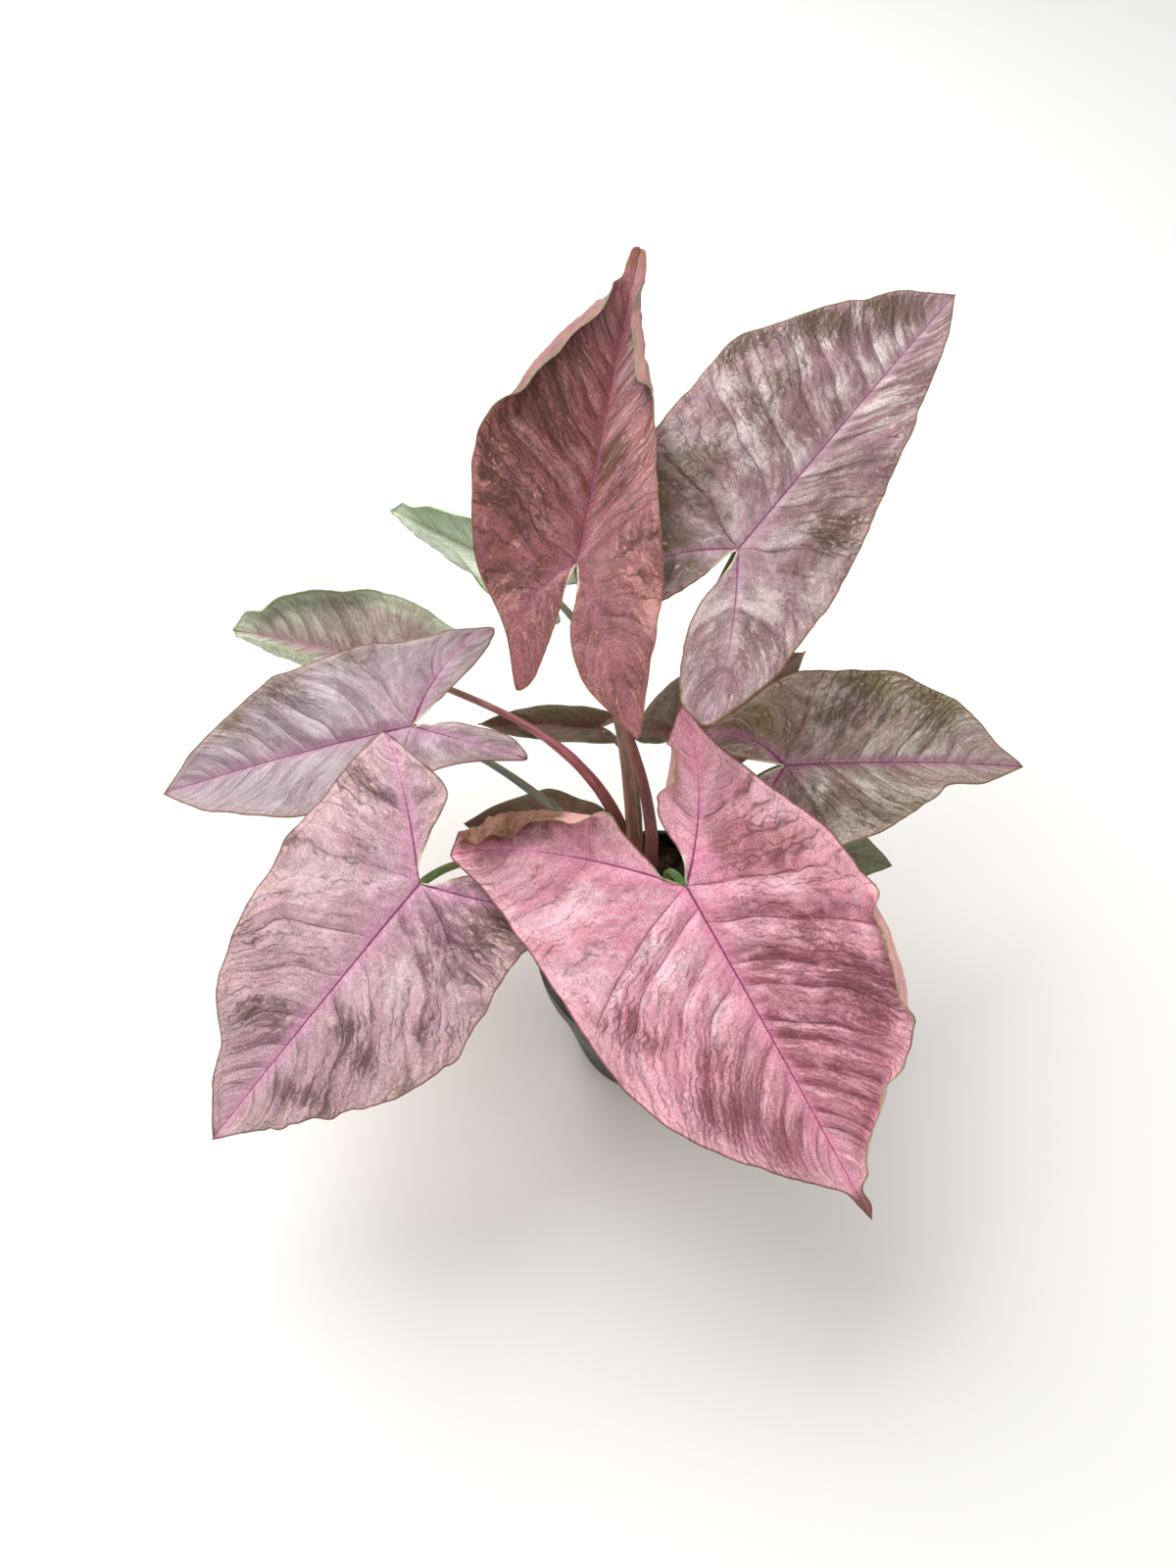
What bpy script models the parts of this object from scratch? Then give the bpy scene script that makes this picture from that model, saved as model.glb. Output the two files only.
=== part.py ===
# Arrowhead plant in its round nursery pot: three short shoots rooted in potting soil, each with
# long leaf stalks, and one arrow-shaped blade on every stalk. The plant's front faces -Y.
# Lengths below are millimetres and angles are degrees; meshes are scaled to metres as they are made.

import math

import bmesh
import bpy
import numpy as np
from mathutils import Matrix, Vector

MM = 0.001
GAP = 0.3  # air left between pieces that touch
PROUD = 3  # how far a cutter passes the surface it cuts
ROUND_SIDES = 16

POT_HEIGHT = 86
POT_RIM_RADIUS = 53
POT_RIM_DROP = 12  # height of the rim band
POT_RIM_STEP = 2  # the band stands this far out of the wall
POT_BASE_RADIUS = 37
POT_WALL = 1.6
POT_LIP = 0.6  # the lip's bead stands this far out of the rim band
POT_LIP_HEIGHT = 2.2
POT_CORNER = 1.2  # how much the corners are eased
POT_FLOOR = 2.2
POT_SIDES = 40
DRAIN_COUNT = 6
DRAIN_RADIUS = 4
DRAIN_CIRCLE = 27

SOIL_TOP = 76
SOIL_MOUND = 5  # the middle stands this much above the edge
SOIL_LUMP = 1.3
SOIL_EDGE_DROP = 3  # how far the soil falls away in its outermost ring
SOIL_RINGS = 7
SOIL_SIDES = 28

STEM_RADIUS = 5.2
STEM_TOP_RADIUS = 3.2
STEM_ROOT = 20  # depth of the shoot's foot in the soil
STEM_RISE = 17  # height of the shoot above the soil
STALK_BASE_RADIUS = 3.1
STALK_TOP_RADIUS = 1.6
STALK_POINTS = 11
STALK_FOOT = 4  # height of the lowest stalk's foot above the soil
STALK_STEP = 3.2  # each next stalk of a shoot starts this much higher
STALK_RISE = 0.45  # how straight up a stalk starts, in lengths of its span
STALK_SPREAD = 0.12  # and how far it leans out meanwhile, in lengths of its way sideways
STALK_REACH = 0.38  # length of its straightened last stretch, in lengths of its span
STALK_LEAN = 1.1  # a stalk reaches the blade leaning along the midrib, this much per unit of rise
STALK_TAPER = 1.4  # how quickly a stalk thins from its foot

BLADE_THICKNESS = 0.7
STRIP = 9  # width of the band along the margin that can roll
STRIP_LIMIT = 0.45  # and its greatest share of the way from midrib to margin
LEAD = 0.13  # the first side vein meets the margin this far ahead of the stalk, in blade lengths
SWEEP = 0.85  # how much the side veins crowd forward to the tip
LOBE_RIB_INWARD = 0.6  # the rib of a lobe runs this share of the way from its outer margin to the notch

COLUMNS = (0, 0.2, 0.4, 0.58, 0.72, 0.86, 1)  # where the lines of faces lie from midrib to margin
NOTCH_COLUMNS = (0, 0.5, 1)  # and from a lobe's own rib in to the notch
FLAT_SHARE = 0.58  # the column where the rolling strip begins
BODY_START = 0.5  # the fold changes from the lobe's to the blade's round the stalk, over
BODY_LENGTH = 0.3  # this share of the blade's length

COLOURS = {
    "blade_rose": ((0.60, 0.20, 0.26), 0.42),
    "blade_mauve": ((0.50, 0.26, 0.30), 0.42),
    "blade_dusk": ((0.36, 0.13, 0.13), 0.42),
    "blade_olive": ((0.34, 0.20, 0.19), 0.42),
    "blade_mint": ((0.36, 0.42, 0.30), 0.42),
    "blade_green": ((0.08, 0.13, 0.05), 0.42),
}

# place is the middle of a shoot, and its stalks spring from crown beside it.
SHOOTS = {
    "stem_front": dict(place=(5, -2), crown=(0, -1)),
    "stem_back_right": dict(place=(19, 15), crown=(1, 1)),
    "stem_back_left": dict(place=(-9, 14), crown=(-1, 1)),
}

# Each blade lies flat with its stalk at (0, 0) and its tip at (0, length), seen from above.
# Outline points are (outward, forward): lobe is the lobe's tip, outer runs from there to the blade's
# tip, and sinus runs from there back to the stalk. fold lifts the half from the midrib, arch bends it
# down again towards the margin, lobe_fold and droop set the lobe, and roll is a list of
# (start, end, angle) along the margin, where the strip curls over. A leaf's ripple is (height, waves,
# phase) along the margin. Its swing moves the middle of its stalk, and its lift raises the lower half.
LEAVES = {
    "leaf_front_right": dict(
        shoot="stem_front", colour="blade_rose", attach=(5, -18, 159), heading=-58, pitch=-23, tilt=10,
        length=136, bend=8, ripple=(1.5, 5, 0.1), rows=(6, 14),
        right=dict(
            lobe=(71, -53), outer=[(65, -32), (62, -8), (60, 16), (58, 40), (51, 66), (34, 91), (14, 116)],
            sinus=[(60, -59), (44, -58), (28, -51), (15, -39), (8, -17), (6, -6)],
            fold=10, arch=18, lobe_fold=6, droop=6, roll=[]),
        left=dict(
            lobe=(33, -61),
            outer=[(37, -38), (47, -14), (56, 8), (60, 30), (60, 54), (49, 80), (30, 100), (12, 121)],
            sinus=[(24, -53), (14, -43), (4, -28), (4, -11)],
            fold=8, arch=6, lobe_fold=6, droop=4, roll=[(0.42, 0.70, 110), (0.73, 1.0, 90)]),
    ),
    "leaf_front_left": dict(
        shoot="stem_front", colour="blade_mauve", attach=(-94, -12, 151), heading=-135, pitch=-25, tilt=-13,
        length=126, bend=8, ripple=(1.5, 5, 0.5), rows=(6, 14),
        right=dict(
            lobe=(52, -35), outer=[(52, -10), (51, 20), (47, 46), (38, 76), (22, 94), (11, 111)],
            sinus=[(36, -35), (15, -33), (9, -17), (4, -3)],
            fold=10, arch=18, lobe_fold=6, droop=6, roll=[]),
        left=dict(
            lobe=(47, -30), outer=[(47, -8), (49, 14), (53, 38), (49, 58), (33, 84), (14, 108)],
            sinus=[(32, -28), (16, -18), (5, -4)],
            fold=10, arch=22, lobe_fold=6, droop=6, roll=[]),
    ),
    "leaf_back_centre": dict(
        shoot="stem_back_left", colour="blade_dusk", attach=(-35, 79, 227), heading=80, pitch=15, tilt=5,
        swing=(20, 0),
        length=153, bend=4, ripple=(1.5, 5, 0.2), rows=(6, 14),
        right=dict(
            lobe=(34, -63), outer=[(33, -40), (33, -16), (31, 14), (25, 38), (22, 68), (17, 96), (9, 130)],
            sinus=[(24, -56), (11, -46), (3, -31), (2, -12)],
            fold=30, arch=8, lobe_fold=10, droop=20, roll=[(0.56, 1.0, 130)]),
        left=dict(
            lobe=(13, -53),
            outer=[(21, -31), (36, -9), (44, 10), (48, 32), (43, 52), (35, 80), (24, 108), (10, 134)],
            sinus=[(8, -48), (5, -36), (3, -22), (2, -10)],
            fold=30, arch=8, lobe_fold=10, droop=20, roll=[(0.44, 1.0, 130)]),
    ),
    "leaf_back_right": dict(
        shoot="stem_back_right", colour="blade_olive", attach=(25, 90, 223), heading=52, pitch=11, tilt=10,
        length=163, bend=6, ripple=(1.5, 5, 0.7), rows=(6, 14),
        right=dict(
            lobe=(33, -66), outer=[(40, -40), (41, -14), (39, 14), (33, 44), (26, 76), (19, 104), (11, 136)],
            sinus=[(20, -64), (7, -44), (2, -26), (2, -10)],
            fold=10, arch=22, lobe_fold=12, droop=6, roll=[]),
        left=dict(
            lobe=(24, -56), outer=[(40, -34), (51, -6), (55, 26), (57, 60), (53, 86), (38, 112), (20, 142)],
            sinus=[(17, -48), (9, -34), (4, -20), (2, -8)],
            fold=12, arch=18, lobe_fold=4, droop=8, roll=[]),
    ),
    "leaf_right": dict(
        shoot="stem_back_right", colour="blade_olive", attach=(46, 36, 160), heading=6, pitch=-3, tilt=16,
        length=108, bend=20, ripple=(1.2, 4, 0.3), rows=(5, 11),
        right=dict(
            lobe=(34, -34), outer=[(36, -12), (36, 12), (32, 30), (23, 48), (11, 68), (8, 88)],
            sinus=[(22, -30), (9, -20), (3, -8)],
            fold=18, arch=26, lobe_fold=8, droop=8, roll=[]),
        left=dict(
            lobe=(12, -38), outer=[(23, -19), (36, 3), (38, 26), (36, 52), (26, 74), (9, 94)],
            sinus=[(7, -28), (3, -14)],
            fold=18, arch=20, lobe_fold=8, droop=8, roll=[]),
    ),
    "leaf_left": dict(
        shoot="stem_back_left", colour="blade_mauve", attach=(-103, 61, 153), heading=-172, pitch=-10,
        tilt=-12, swing=(0, -10),
        length=113, bend=12, ripple=(1.2, 4, 0.6), rows=(5, 11),
        right=dict(
            lobe=(38, -41), outer=[(40, -20), (38, 6), (37, 36), (30, 64), (12, 96)],
            sinus=[(28, -36), (15, -22), (5, -8)],
            fold=20, arch=16, lobe_fold=8, droop=6, roll=[]),
        left=dict(
            lobe=(26, -46), outer=[(22, -18), (27, 6), (32, 26), (29, 60), (13, 96)],
            sinus=[(14, -39), (4, -20), (1, -7)],
            fold=20, arch=16, lobe_fold=8, droop=6, roll=[]),
    ),
    "leaf_back_left": dict(
        shoot="stem_back_left", colour="blade_mint", attach=(-110, 100, 142), heading=160, pitch=-1, tilt=-12,
        swing=(8, 8), lift=22,
        length=90, bend=10, ripple=(1.0, 3, 0.2), rows=(4, 8),
        right=dict(
            lobe=(20, -30), outer=[(26, -10), (30, 14), (29, 36), (25, 58), (14, 78)],
            sinus=[(11, -24), (4, -12)],
            fold=24, arch=10, lobe_fold=8, droop=8, roll=[(0.35, 1.0, 120)]),
        left=dict(
            lobe=(13, -18), outer=[(19, -4), (22, 14), (18, 40), (15, 60), (8, 78)],
            sinus=[(5, -9)],
            fold=24, arch=10, lobe_fold=8, droop=8, roll=[(0.35, 1.0, 100)]),
    ),
    "leaf_young": dict(
        shoot="stem_back_left", colour="blade_mint", attach=(-52, 104, 191), heading=148, pitch=6, tilt=-28,
        length=80, bend=20, ripple=(0.6, 3, 0.4), rows=(4, 8),
        both=dict(
            lobe=(12, -20), outer=[(18, -4), (20, 16), (17, 38), (11, 60)],
            sinus=[(5, -12)],
            fold=45, arch=8, lobe_fold=30, droop=8, roll=[(0.3, 1.0, 90)]),
    ),
    "leaf_right_low": dict(
        shoot="stem_back_right", colour="blade_green", attach=(42, 28, 124), heading=-7, pitch=-10, tilt=6,
        length=58, bend=14, ripple=(0.8, 3, 0.4), rows=(4, 7),
        both=dict(
            lobe=(14, -18), outer=[(20, -4), (21, 14), (16, 34), (6, 50)],
            sinus=[(6, -11)],
            fold=12, arch=20, lobe_fold=6, droop=8, roll=[]),
    ),
    "leaf_behind": dict(
        shoot="stem_back_right", colour="blade_dusk", attach=(11, 67, 137), heading=41, pitch=4, tilt=6,
        length=73, bend=8, ripple=(0.8, 3, 0.1), rows=(4, 7),
        both=dict(
            lobe=(15, -19), outer=[(22, -4), (24, 14), (18, 38), (7, 60)],
            sinus=[(6, -12)],
            fold=12, arch=20, lobe_fold=6, droop=8, roll=[]),
    ),
    "leaf_inner": dict(
        shoot="stem_back_left", colour="blade_dusk", attach=(-26, 80, 127), heading=175, pitch=-1, tilt=-16,
        length=54, bend=8, ripple=(0.6, 3, 0.6), rows=(4, 7),
        both=dict(
            lobe=(6, -12), outer=[(8, -2), (9, 12), (8, 30), (4, 44)],
            sinus=[(3, -7)],
            fold=24, arch=20, lobe_fold=10, droop=8, roll=[]),
    ),
    "leaf_low_left": dict(
        shoot="stem_back_left", colour="blade_green", attach=(-38, 33, 112), heading=174, pitch=8, tilt=-8,
        length=46, bend=10, ripple=(0.8, 3, 0.6), rows=(4, 7),
        both=dict(
            lobe=(14, -18), outer=[(19, -5), (20, 11), (14, 27), (6, 38)],
            sinus=[(6, -12)],
            fold=12, arch=20, lobe_fold=6, droop=8, roll=[]),
    ),
}


def smooth_curve(points):
    """A function of the length fraction that follows a smooth curve through flat points."""
    p = np.array(points, float)
    p = np.vstack([2 * p[0] - p[1], p, 2 * p[-1] - p[-2]])
    t = np.linspace(0, 1, 12, endpoint=False)[:, None]
    pieces = [
        0.5 * (2 * b + (c - a) * t + (2 * a - 5 * b + 4 * c - d) * t**2 + (3 * b - 3 * c + d - a) * t**3)
        for a, b, c, d in zip(p, p[1:], p[2:], p[3:])
    ]
    fine = np.vstack(pieces + [p[-2:-1]])
    run = np.concatenate([[0], np.cumsum(np.linalg.norm(np.diff(fine, axis=0), axis=1))])

    def at(fraction):
        where = np.asarray(fraction) * run[-1]
        return np.stack([np.interp(where, run, fine[:, 0]), np.interp(where, run, fine[:, 1])], -1)

    return at


def smoothstep(x):
    x = np.clip(x, 0, 1)
    return x * x * (3 - 2 * x)


def bent(leaf, side, sign, flat):
    """Where flat points of one half lie once the blade is folded, arched and bent."""
    x, y = flat[..., 0], flat[..., 1]
    length = leaf["length"]
    body = smoothstep(y / (BODY_LENGTH * length) + BODY_START)
    fold = np.radians(side["lobe_fold"] + (side["fold"] - side["lobe_fold"]) * body)
    half_width = max(point[0] for point in side["outer"])
    arch = math.radians(side["arch"]) / half_width
    across = (np.sin(fold) - np.sin(fold - arch * x)) / arch
    lift = (np.cos(fold - arch * x) - np.cos(fold)) / arch
    forward = math.radians(leaf["bend"]) / length
    backward = math.radians(side["droop"]) / abs(side["lobe"][1])
    turn = np.where(y >= 0, forward * y, -backward * np.abs(y))
    rate = np.where(y >= 0, forward, backward)
    along = np.sin(turn) / rate
    fall = -(1 - np.cos(turn)) / rate
    return np.stack([sign * across, along + lift * np.sin(turn), fall + lift * np.cos(turn)], -1)


def rolled_half(leaf, side, sign, rib, edge, share, columns):
    """Points of one half between its rib and its margin, with the strip along the margin rolled."""
    reach = np.linalg.norm(edge - rib, axis=-1)
    way = np.where((reach > 0.001)[:, None], (edge - rib) / np.maximum(reach, 0.001)[:, None], (1.0, 0.0))
    strip = np.minimum(STRIP, STRIP_LIMIT * reach)
    inside = np.minimum(columns / FLAT_SHARE, 1)
    beyond = np.maximum(columns - FLAT_SHARE, 0) / (1 - FLAT_SHARE)
    flat = rib[:, None] + way[:, None] * ((reach - strip)[:, None] * inside)[..., None]
    base = bent(leaf, side, sign, flat)
    step = 0.01
    beside = np.stack([-way[:, 1], way[:, 0]], -1)
    out = (bent(leaf, side, sign, flat + step * way[:, None]) - base) / step
    along = (bent(leaf, side, sign, flat + step * beside[:, None]) - base) / step
    normal = sign * np.cross(out, along)
    normal /= np.linalg.norm(normal, axis=-1, keepdims=True)
    angle = np.full(share.shape, 1e-3)
    for start, end, turn in side["roll"]:
        place = (share - start) / (end - start)
        angle = angle + math.radians(turn) * smoothstep(6 * place) * smoothstep(6 * (1 - place))
    radius = (strip / angle)[:, None]
    turned_by = angle[:, None] * beyond
    curled = (base + (radius * np.sin(turned_by))[..., None] * out
              + (radius * (1 - np.cos(turned_by)))[..., None] * normal)
    height, waves, phase = leaf["ripple"]
    calm = 1 - smoothstep(np.degrees(angle) / 60)
    ends = smoothstep(6 * share) * smoothstep(6 * (1 - share))
    wave = height * np.sin(2 * math.pi * (waves * share + phase + 0.25 * sign)) * calm * ends
    return curled + (wave[:, None] * columns**2)[..., None] * normal


def half_blade(leaf, side, sign):
    """Grids of points for one half: from the ribs out to the margin, and in to the notch."""
    length = leaf["length"]
    outer = smooth_curve([side["lobe"]] + side["outer"] + [(0, length)])
    sinus = smooth_curve([side["lobe"]] + side["sinus"] + [(0, 0)])
    ahead = np.linspace(0, 1, 400)
    first = ahead[np.argmax(outer(ahead)[:, 1] > LEAD * length)]
    lobe_rows, blade_rows = leaf["rows"]
    back = np.linspace(0, 1, lobe_rows + 1)
    middle = LOBE_RIB_INWARD * sinus(0.5) + (1 - LOBE_RIB_INWARD) * outer(0.5 * first)
    knee = 2 * middle - 0.5 * np.array(side["lobe"])
    t = (1 - back)[:, None]
    lobe_rib = 2 * t * (1 - t) * knee + t**2 * np.array(side["lobe"])
    front = np.linspace(0, 1, blade_rows + 1)[1:]
    midrib = np.stack([np.zeros(blade_rows), length * front], -1)
    rib = np.vstack([lobe_rib, midrib])
    share = np.concatenate([first * back, first + (1 - first) * front**SWEEP])
    wide = rolled_half(leaf, side, sign, rib, outer(share), share, np.array(COLUMNS))
    notch = sinus(back)
    narrow = lobe_rib[:, None] + (notch - lobe_rib)[:, None] * np.array(NOTCH_COLUMNS)[:, None]
    return wide, bent(leaf, side, sign, narrow)


def blade_mesh(name, leaf):
    """The blade's upper surface as four welded grids, already split into triangles."""
    bm = bmesh.new()
    for key, sign in (("right", 1), ("left", -1)):
        for grid in half_blade(leaf, leaf.get(key, leaf.get("both")), sign):
            rows, columns = grid.shape[:2]
            made = bmesh.ops.create_grid(bm, x_segments=columns - 1, y_segments=rows - 1, size=1)
            for vert, place in zip(made["verts"], grid.reshape(-1, 3)):
                vert.co = Vector(place) * MM
    bmesh.ops.remove_doubles(bm, verts=bm.verts, dist=1e-5)
    bmesh.ops.triangulate(bm, faces=bm.faces)
    bmesh.ops.recalc_face_normals(bm, faces=bm.faces)
    if sum(face.normal.z * face.calc_area() for face in bm.faces) < 0:
        bmesh.ops.reverse_faces(bm, faces=bm.faces)
    mesh = bpy.data.meshes.new(name)
    bm.to_mesh(mesh)
    bm.free()
    return mesh


def add_mesh(name, mesh, material):
    obj = bpy.data.objects.new(name, mesh)
    plant.objects.link(obj)
    obj.data.materials.append(material)
    return obj


def placement(leaf):
    turn = (Matrix.Rotation(math.radians(leaf["heading"] - 90), 4, "Z")
            @ Matrix.Rotation(math.radians(leaf["pitch"]), 4, "X")
            @ Matrix.Rotation(math.radians(leaf["tilt"]), 4, "Y"))
    return Matrix.Translation(Vector(leaf["attach"]) * MM) @ turn


def add_blade(name, leaf):
    blade = add_mesh(name, blade_mesh(name, leaf), paint(leaf["colour"], *COLOURS[leaf["colour"]]))
    blade.matrix_world = placement(leaf)
    blade.data.shade_smooth()
    solid = blade.modifiers.new("thickness", "SOLIDIFY")
    solid.thickness = BLADE_THICKNESS * MM
    solid.offset = -1
    return blade


def paint(name, colour, roughness):
    """One Principled material, made once."""
    material = bpy.data.materials.get(name)
    if material is None:
        material = bpy.data.materials.new(name)
        material.use_nodes = True
        shader = material.node_tree.nodes["Principled BSDF"]
        shader.inputs["Base Color"].default_value = (*colour, 1)
        shader.inputs["Roughness"].default_value = roughness
        shader.inputs["Metallic"].default_value = 0
    return material


def meshed(obj):
    """A mesh object in place of a curve or of a mesh with modifiers, its loose caps welded."""
    bpy.context.view_layer.update()
    mesh = bpy.data.meshes.new_from_object(obj.evaluated_get(bpy.context.evaluated_depsgraph_get()))
    bm = bmesh.new()
    bm.from_mesh(mesh)
    bmesh.ops.remove_doubles(bm, verts=bm.verts, dist=1e-6)
    bm.to_mesh(mesh)
    bm.free()
    solid = bpy.data.objects.new(obj.name + "_mesh", mesh)
    for collection in obj.users_collection:
        collection.objects.link(solid)
    solid.matrix_world = obj.matrix_world
    bpy.data.objects.remove(obj)
    return solid


def turned(name, profile, material, steps):
    """A body of revolution about Z from an open profile of (radius, height)."""
    bm = bmesh.new()
    points = [bm.verts.new(Vector((radius, 0, height)) * MM) for radius, height in profile]
    for first, second in zip(points, points[1:]):
        bm.edges.new((first, second))
    mesh = bpy.data.meshes.new(name)
    bm.to_mesh(mesh)
    bm.free()
    obj = add_mesh(name, mesh, material)
    screw = obj.modifiers.new("turn", "SCREW")
    screw.steps = screw.render_steps = steps
    screw.use_merge_vertices = True
    screw.merge_threshold = 0.00001
    return obj


def cone(name, radii, bottom, top, place, collection, sides):
    """An upright cone or cylinder; radii are those of its foot and its top."""
    bm = bmesh.new()
    bmesh.ops.create_cone(bm, cap_ends=True, segments=sides, radius1=radii[0] * MM, radius2=radii[1] * MM,
                          depth=(top - bottom) * MM)
    mesh = bpy.data.meshes.new(name)
    bm.to_mesh(mesh)
    bm.free()
    obj = bpy.data.objects.new(name, mesh)
    obj.location = Vector((place[0], place[1], (top + bottom) / 2)) * MM
    collection.objects.link(obj)
    return obj


def cut(obj, cutters, operation="DIFFERENCE"):
    boolean = obj.modifiers.new(operation.lower(), "BOOLEAN")
    boolean.operation = operation
    boolean.operand_type = "COLLECTION"
    boolean.collection = cutters
    boolean.solver = "EXACT"


def guide_collection(name):
    made = bpy.data.collections.new(name)
    bpy.context.scene.collection.children.link(made)
    return made


def as_cutter(obj):
    obj.hide_render = True
    obj.display_type = "WIRE"


def build_pot():
    """The pot as one turned profile, from the floor's middle up the inside, over the rim and down."""
    rim, low = POT_RIM_RADIUS, POT_HEIGHT - POT_RIM_DROP
    wall, base, ease = rim - POT_RIM_STEP, POT_BASE_RADIUS, POT_CORNER
    lip_top, lip_low = POT_HEIGHT - ease / 2, POT_HEIGHT - POT_LIP_HEIGHT
    profile = [
        (0, POT_FLOOR), (base - POT_WALL - ease, POT_FLOOR), (base - POT_WALL, POT_FLOOR + ease),
        (wall - POT_WALL, low), (rim - POT_WALL, low + ease), (rim - POT_WALL, lip_top),
        (rim - POT_WALL / 2, POT_HEIGHT), (rim + POT_LIP, lip_top), (rim + POT_LIP, lip_low),
        (rim, lip_low - POT_LIP), (rim - POT_LIP, low), (wall, low - POT_LIP), (base, ease),
        (base - ease, 0), (0, 0),
    ]
    pot = turned("pot", profile, paint("pot_black", (0.012, 0.012, 0.013), 0.5), POT_SIDES)
    holes = guide_collection("drain_cutters")
    for index in range(DRAIN_COUNT):
        angle = 2 * math.pi * (index + 0.5) / DRAIN_COUNT
        place = (DRAIN_CIRCLE * math.cos(angle), DRAIN_CIRCLE * math.sin(angle))
        as_cutter(cone(f"drain_cutter_{index + 1}", (DRAIN_RADIUS, DRAIN_RADIUS), -PROUD, POT_FLOOR + PROUD,
                       place, holes, ROUND_SIDES))
    cut(pot, holes)
    return pot


def inner_radius(height):
    """Radius of the pot's inside at a height below the rim band."""
    low = POT_HEIGHT - POT_RIM_DROP
    floor_radius, wall_radius = POT_BASE_RADIUS - POT_WALL, POT_RIM_RADIUS - POT_RIM_STEP - POT_WALL
    share = (height - POT_FLOOR - POT_CORNER) / (low - POT_FLOOR - POT_CORNER)
    return floor_radius + share * (wall_radius - floor_radius)


def soil_height(x, y):
    """Top of the soil: a low mound with lumps, fading to the level edge."""
    reach = min(math.hypot(x, y) / inner_radius(SOIL_TOP - SOIL_EDGE_DROP), 1)
    mound = SOIL_MOUND * (1 - reach**2)
    lumps = math.sin(0.55 * x + 0.8) * math.cos(0.47 * y - 0.4) + 0.7 * math.sin(0.31 * x - 0.42 * y)
    return SOIL_TOP + mound + SOIL_LUMP * lumps * (1 - reach**6)


def build_soil():
    """Potting soil that fills the pot: turned, then its top raised in a lumpy mound, then the sockets cut."""
    edge = SOIL_TOP - SOIL_EDGE_DROP
    rings = [(inner_radius(edge) * k / SOIL_RINGS, SOIL_TOP) for k in range(SOIL_RINGS)]
    side = [(inner_radius(height) - GAP * 1.5, height) for height in (edge, POT_FLOOR + POT_CORNER + 1)]
    floor = [(side[-1][0] - POT_CORNER, POT_FLOOR + GAP), (0, POT_FLOOR + GAP)]
    peat = paint("soil_peat", (0.035, 0.024, 0.017), 0.95)
    crust = turned("soil_turned", rings + side + floor, peat, SOIL_SIDES)
    soil = meshed(crust)
    soil.name = "soil"
    for vert in soil.data.vertices:
        x, y, z = vert.co / MM
        if z > edge + 1:
            vert.co.z = soil_height(x, y) * MM
    sockets = guide_collection("socket_cutters")
    socket = STEM_RADIUS + GAP * 1.3
    for name, shoot in SHOOTS.items():
        as_cutter(cone(f"socket_cutter_{name}", (socket, socket), SOIL_TOP - STEM_ROOT - GAP,
                       SOIL_TOP + SOIL_MOUND + PROUD, shoot["place"], sockets, ROUND_SIDES))
    cut(soil, sockets)
    return soil


def stalk_path(shoot, leaf, rank):
    """Points of one leaf stalk from inside its shoot to just under its blade."""
    turn = placement(leaf).to_3x3()
    normal, forward = turn.col[2], turn.col[1]
    arrive = (normal + forward * STALK_LEAN).normalized()
    slant = math.sqrt(max(0, 1 - arrive.dot(normal) ** 2))
    end = Vector(leaf["attach"]) - normal * (BLADE_THICKNESS + GAP * 1.5) - normal * STALK_TOP_RADIUS * slant
    foot = SOIL_TOP + STALK_FOOT + STALK_STEP * rank
    start = Vector((*shoot["place"], foot)) + Vector((*shoot["crown"], 0))
    span = (end - start).length
    side = Vector((end.x - start.x, end.y - start.y, 0))
    swing = Vector((*leaf.get("swing", (0, 0)), 0))
    rise = span * STALK_RISE + leaf.get("lift", 0)
    first = start + Vector((0, 0, rise)) + side * STALK_SPREAD + swing
    second = end - arrive * span * STALK_REACH + swing
    points = []
    for k in range(STALK_POINTS):
        t = k / (STALK_POINTS - 1)
        near, far = 3 * t * (1 - t) ** 2, 3 * t**2 * (1 - t)
        points.append(start * (1 - t) ** 3 + first * near + second * far + end * t**3)
    return points


def stalk(name, points, collection):
    curve = bpy.data.curves.new(name, "CURVE")
    curve.dimensions = "3D"
    curve.bevel_depth = MM
    curve.bevel_resolution = 2
    curve.use_fill_caps = True
    line = curve.splines.new("POLY")
    line.points.add(len(points) - 1)
    for k, point in enumerate(points):
        thinned = min(1, STALK_TAPER * k / (len(points) - 1))
        line.points[k].co = (*(point * MM), 1)
        line.points[k].radius = STALK_BASE_RADIUS + (STALK_TOP_RADIUS - STALK_BASE_RADIUS) * thinned
    obj = bpy.data.objects.new(name, curve)
    collection.objects.link(obj)
    return meshed(obj)


def build_shoot(name, shoot):
    """A short stem with its leaf stalks, joined in one body."""
    material = paint("stalk_green", (0.16, 0.19, 0.09), 0.45)
    stem = cone(name, (STEM_RADIUS, STEM_TOP_RADIUS), SOIL_TOP - STEM_ROOT, SOIL_TOP + STEM_RISE,
                shoot["place"], plant, ROUND_SIDES)
    stem.data.materials.append(material)
    stalks = guide_collection(name + "_stalks")
    own = [(leaf_name, leaf) for leaf_name, leaf in LEAVES.items() if leaf["shoot"] == name]
    for rank, (leaf_name, leaf) in enumerate(own):
        stalk(leaf_name + "_stalk", stalk_path(shoot, leaf, rank), stalks)
    cut(stem, stalks, "UNION")
    joined = meshed(stem)
    joined.name = name
    for obj in list(stalks.objects):
        bpy.data.objects.remove(obj)
    bpy.data.collections.remove(stalks)
    joined.data.shade_smooth()
    return joined


for old in list(bpy.data.objects):
    bpy.data.objects.remove(old)
plant = bpy.data.collections.new("arrowhead_plant")
bpy.context.scene.collection.children.link(plant)
build_pot()
build_soil()
for shoot_name, shoot_values in SHOOTS.items():
    build_shoot(shoot_name, shoot_values)
for blade_name, blade_values in LEAVES.items():
    add_blade(blade_name, blade_values)
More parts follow.
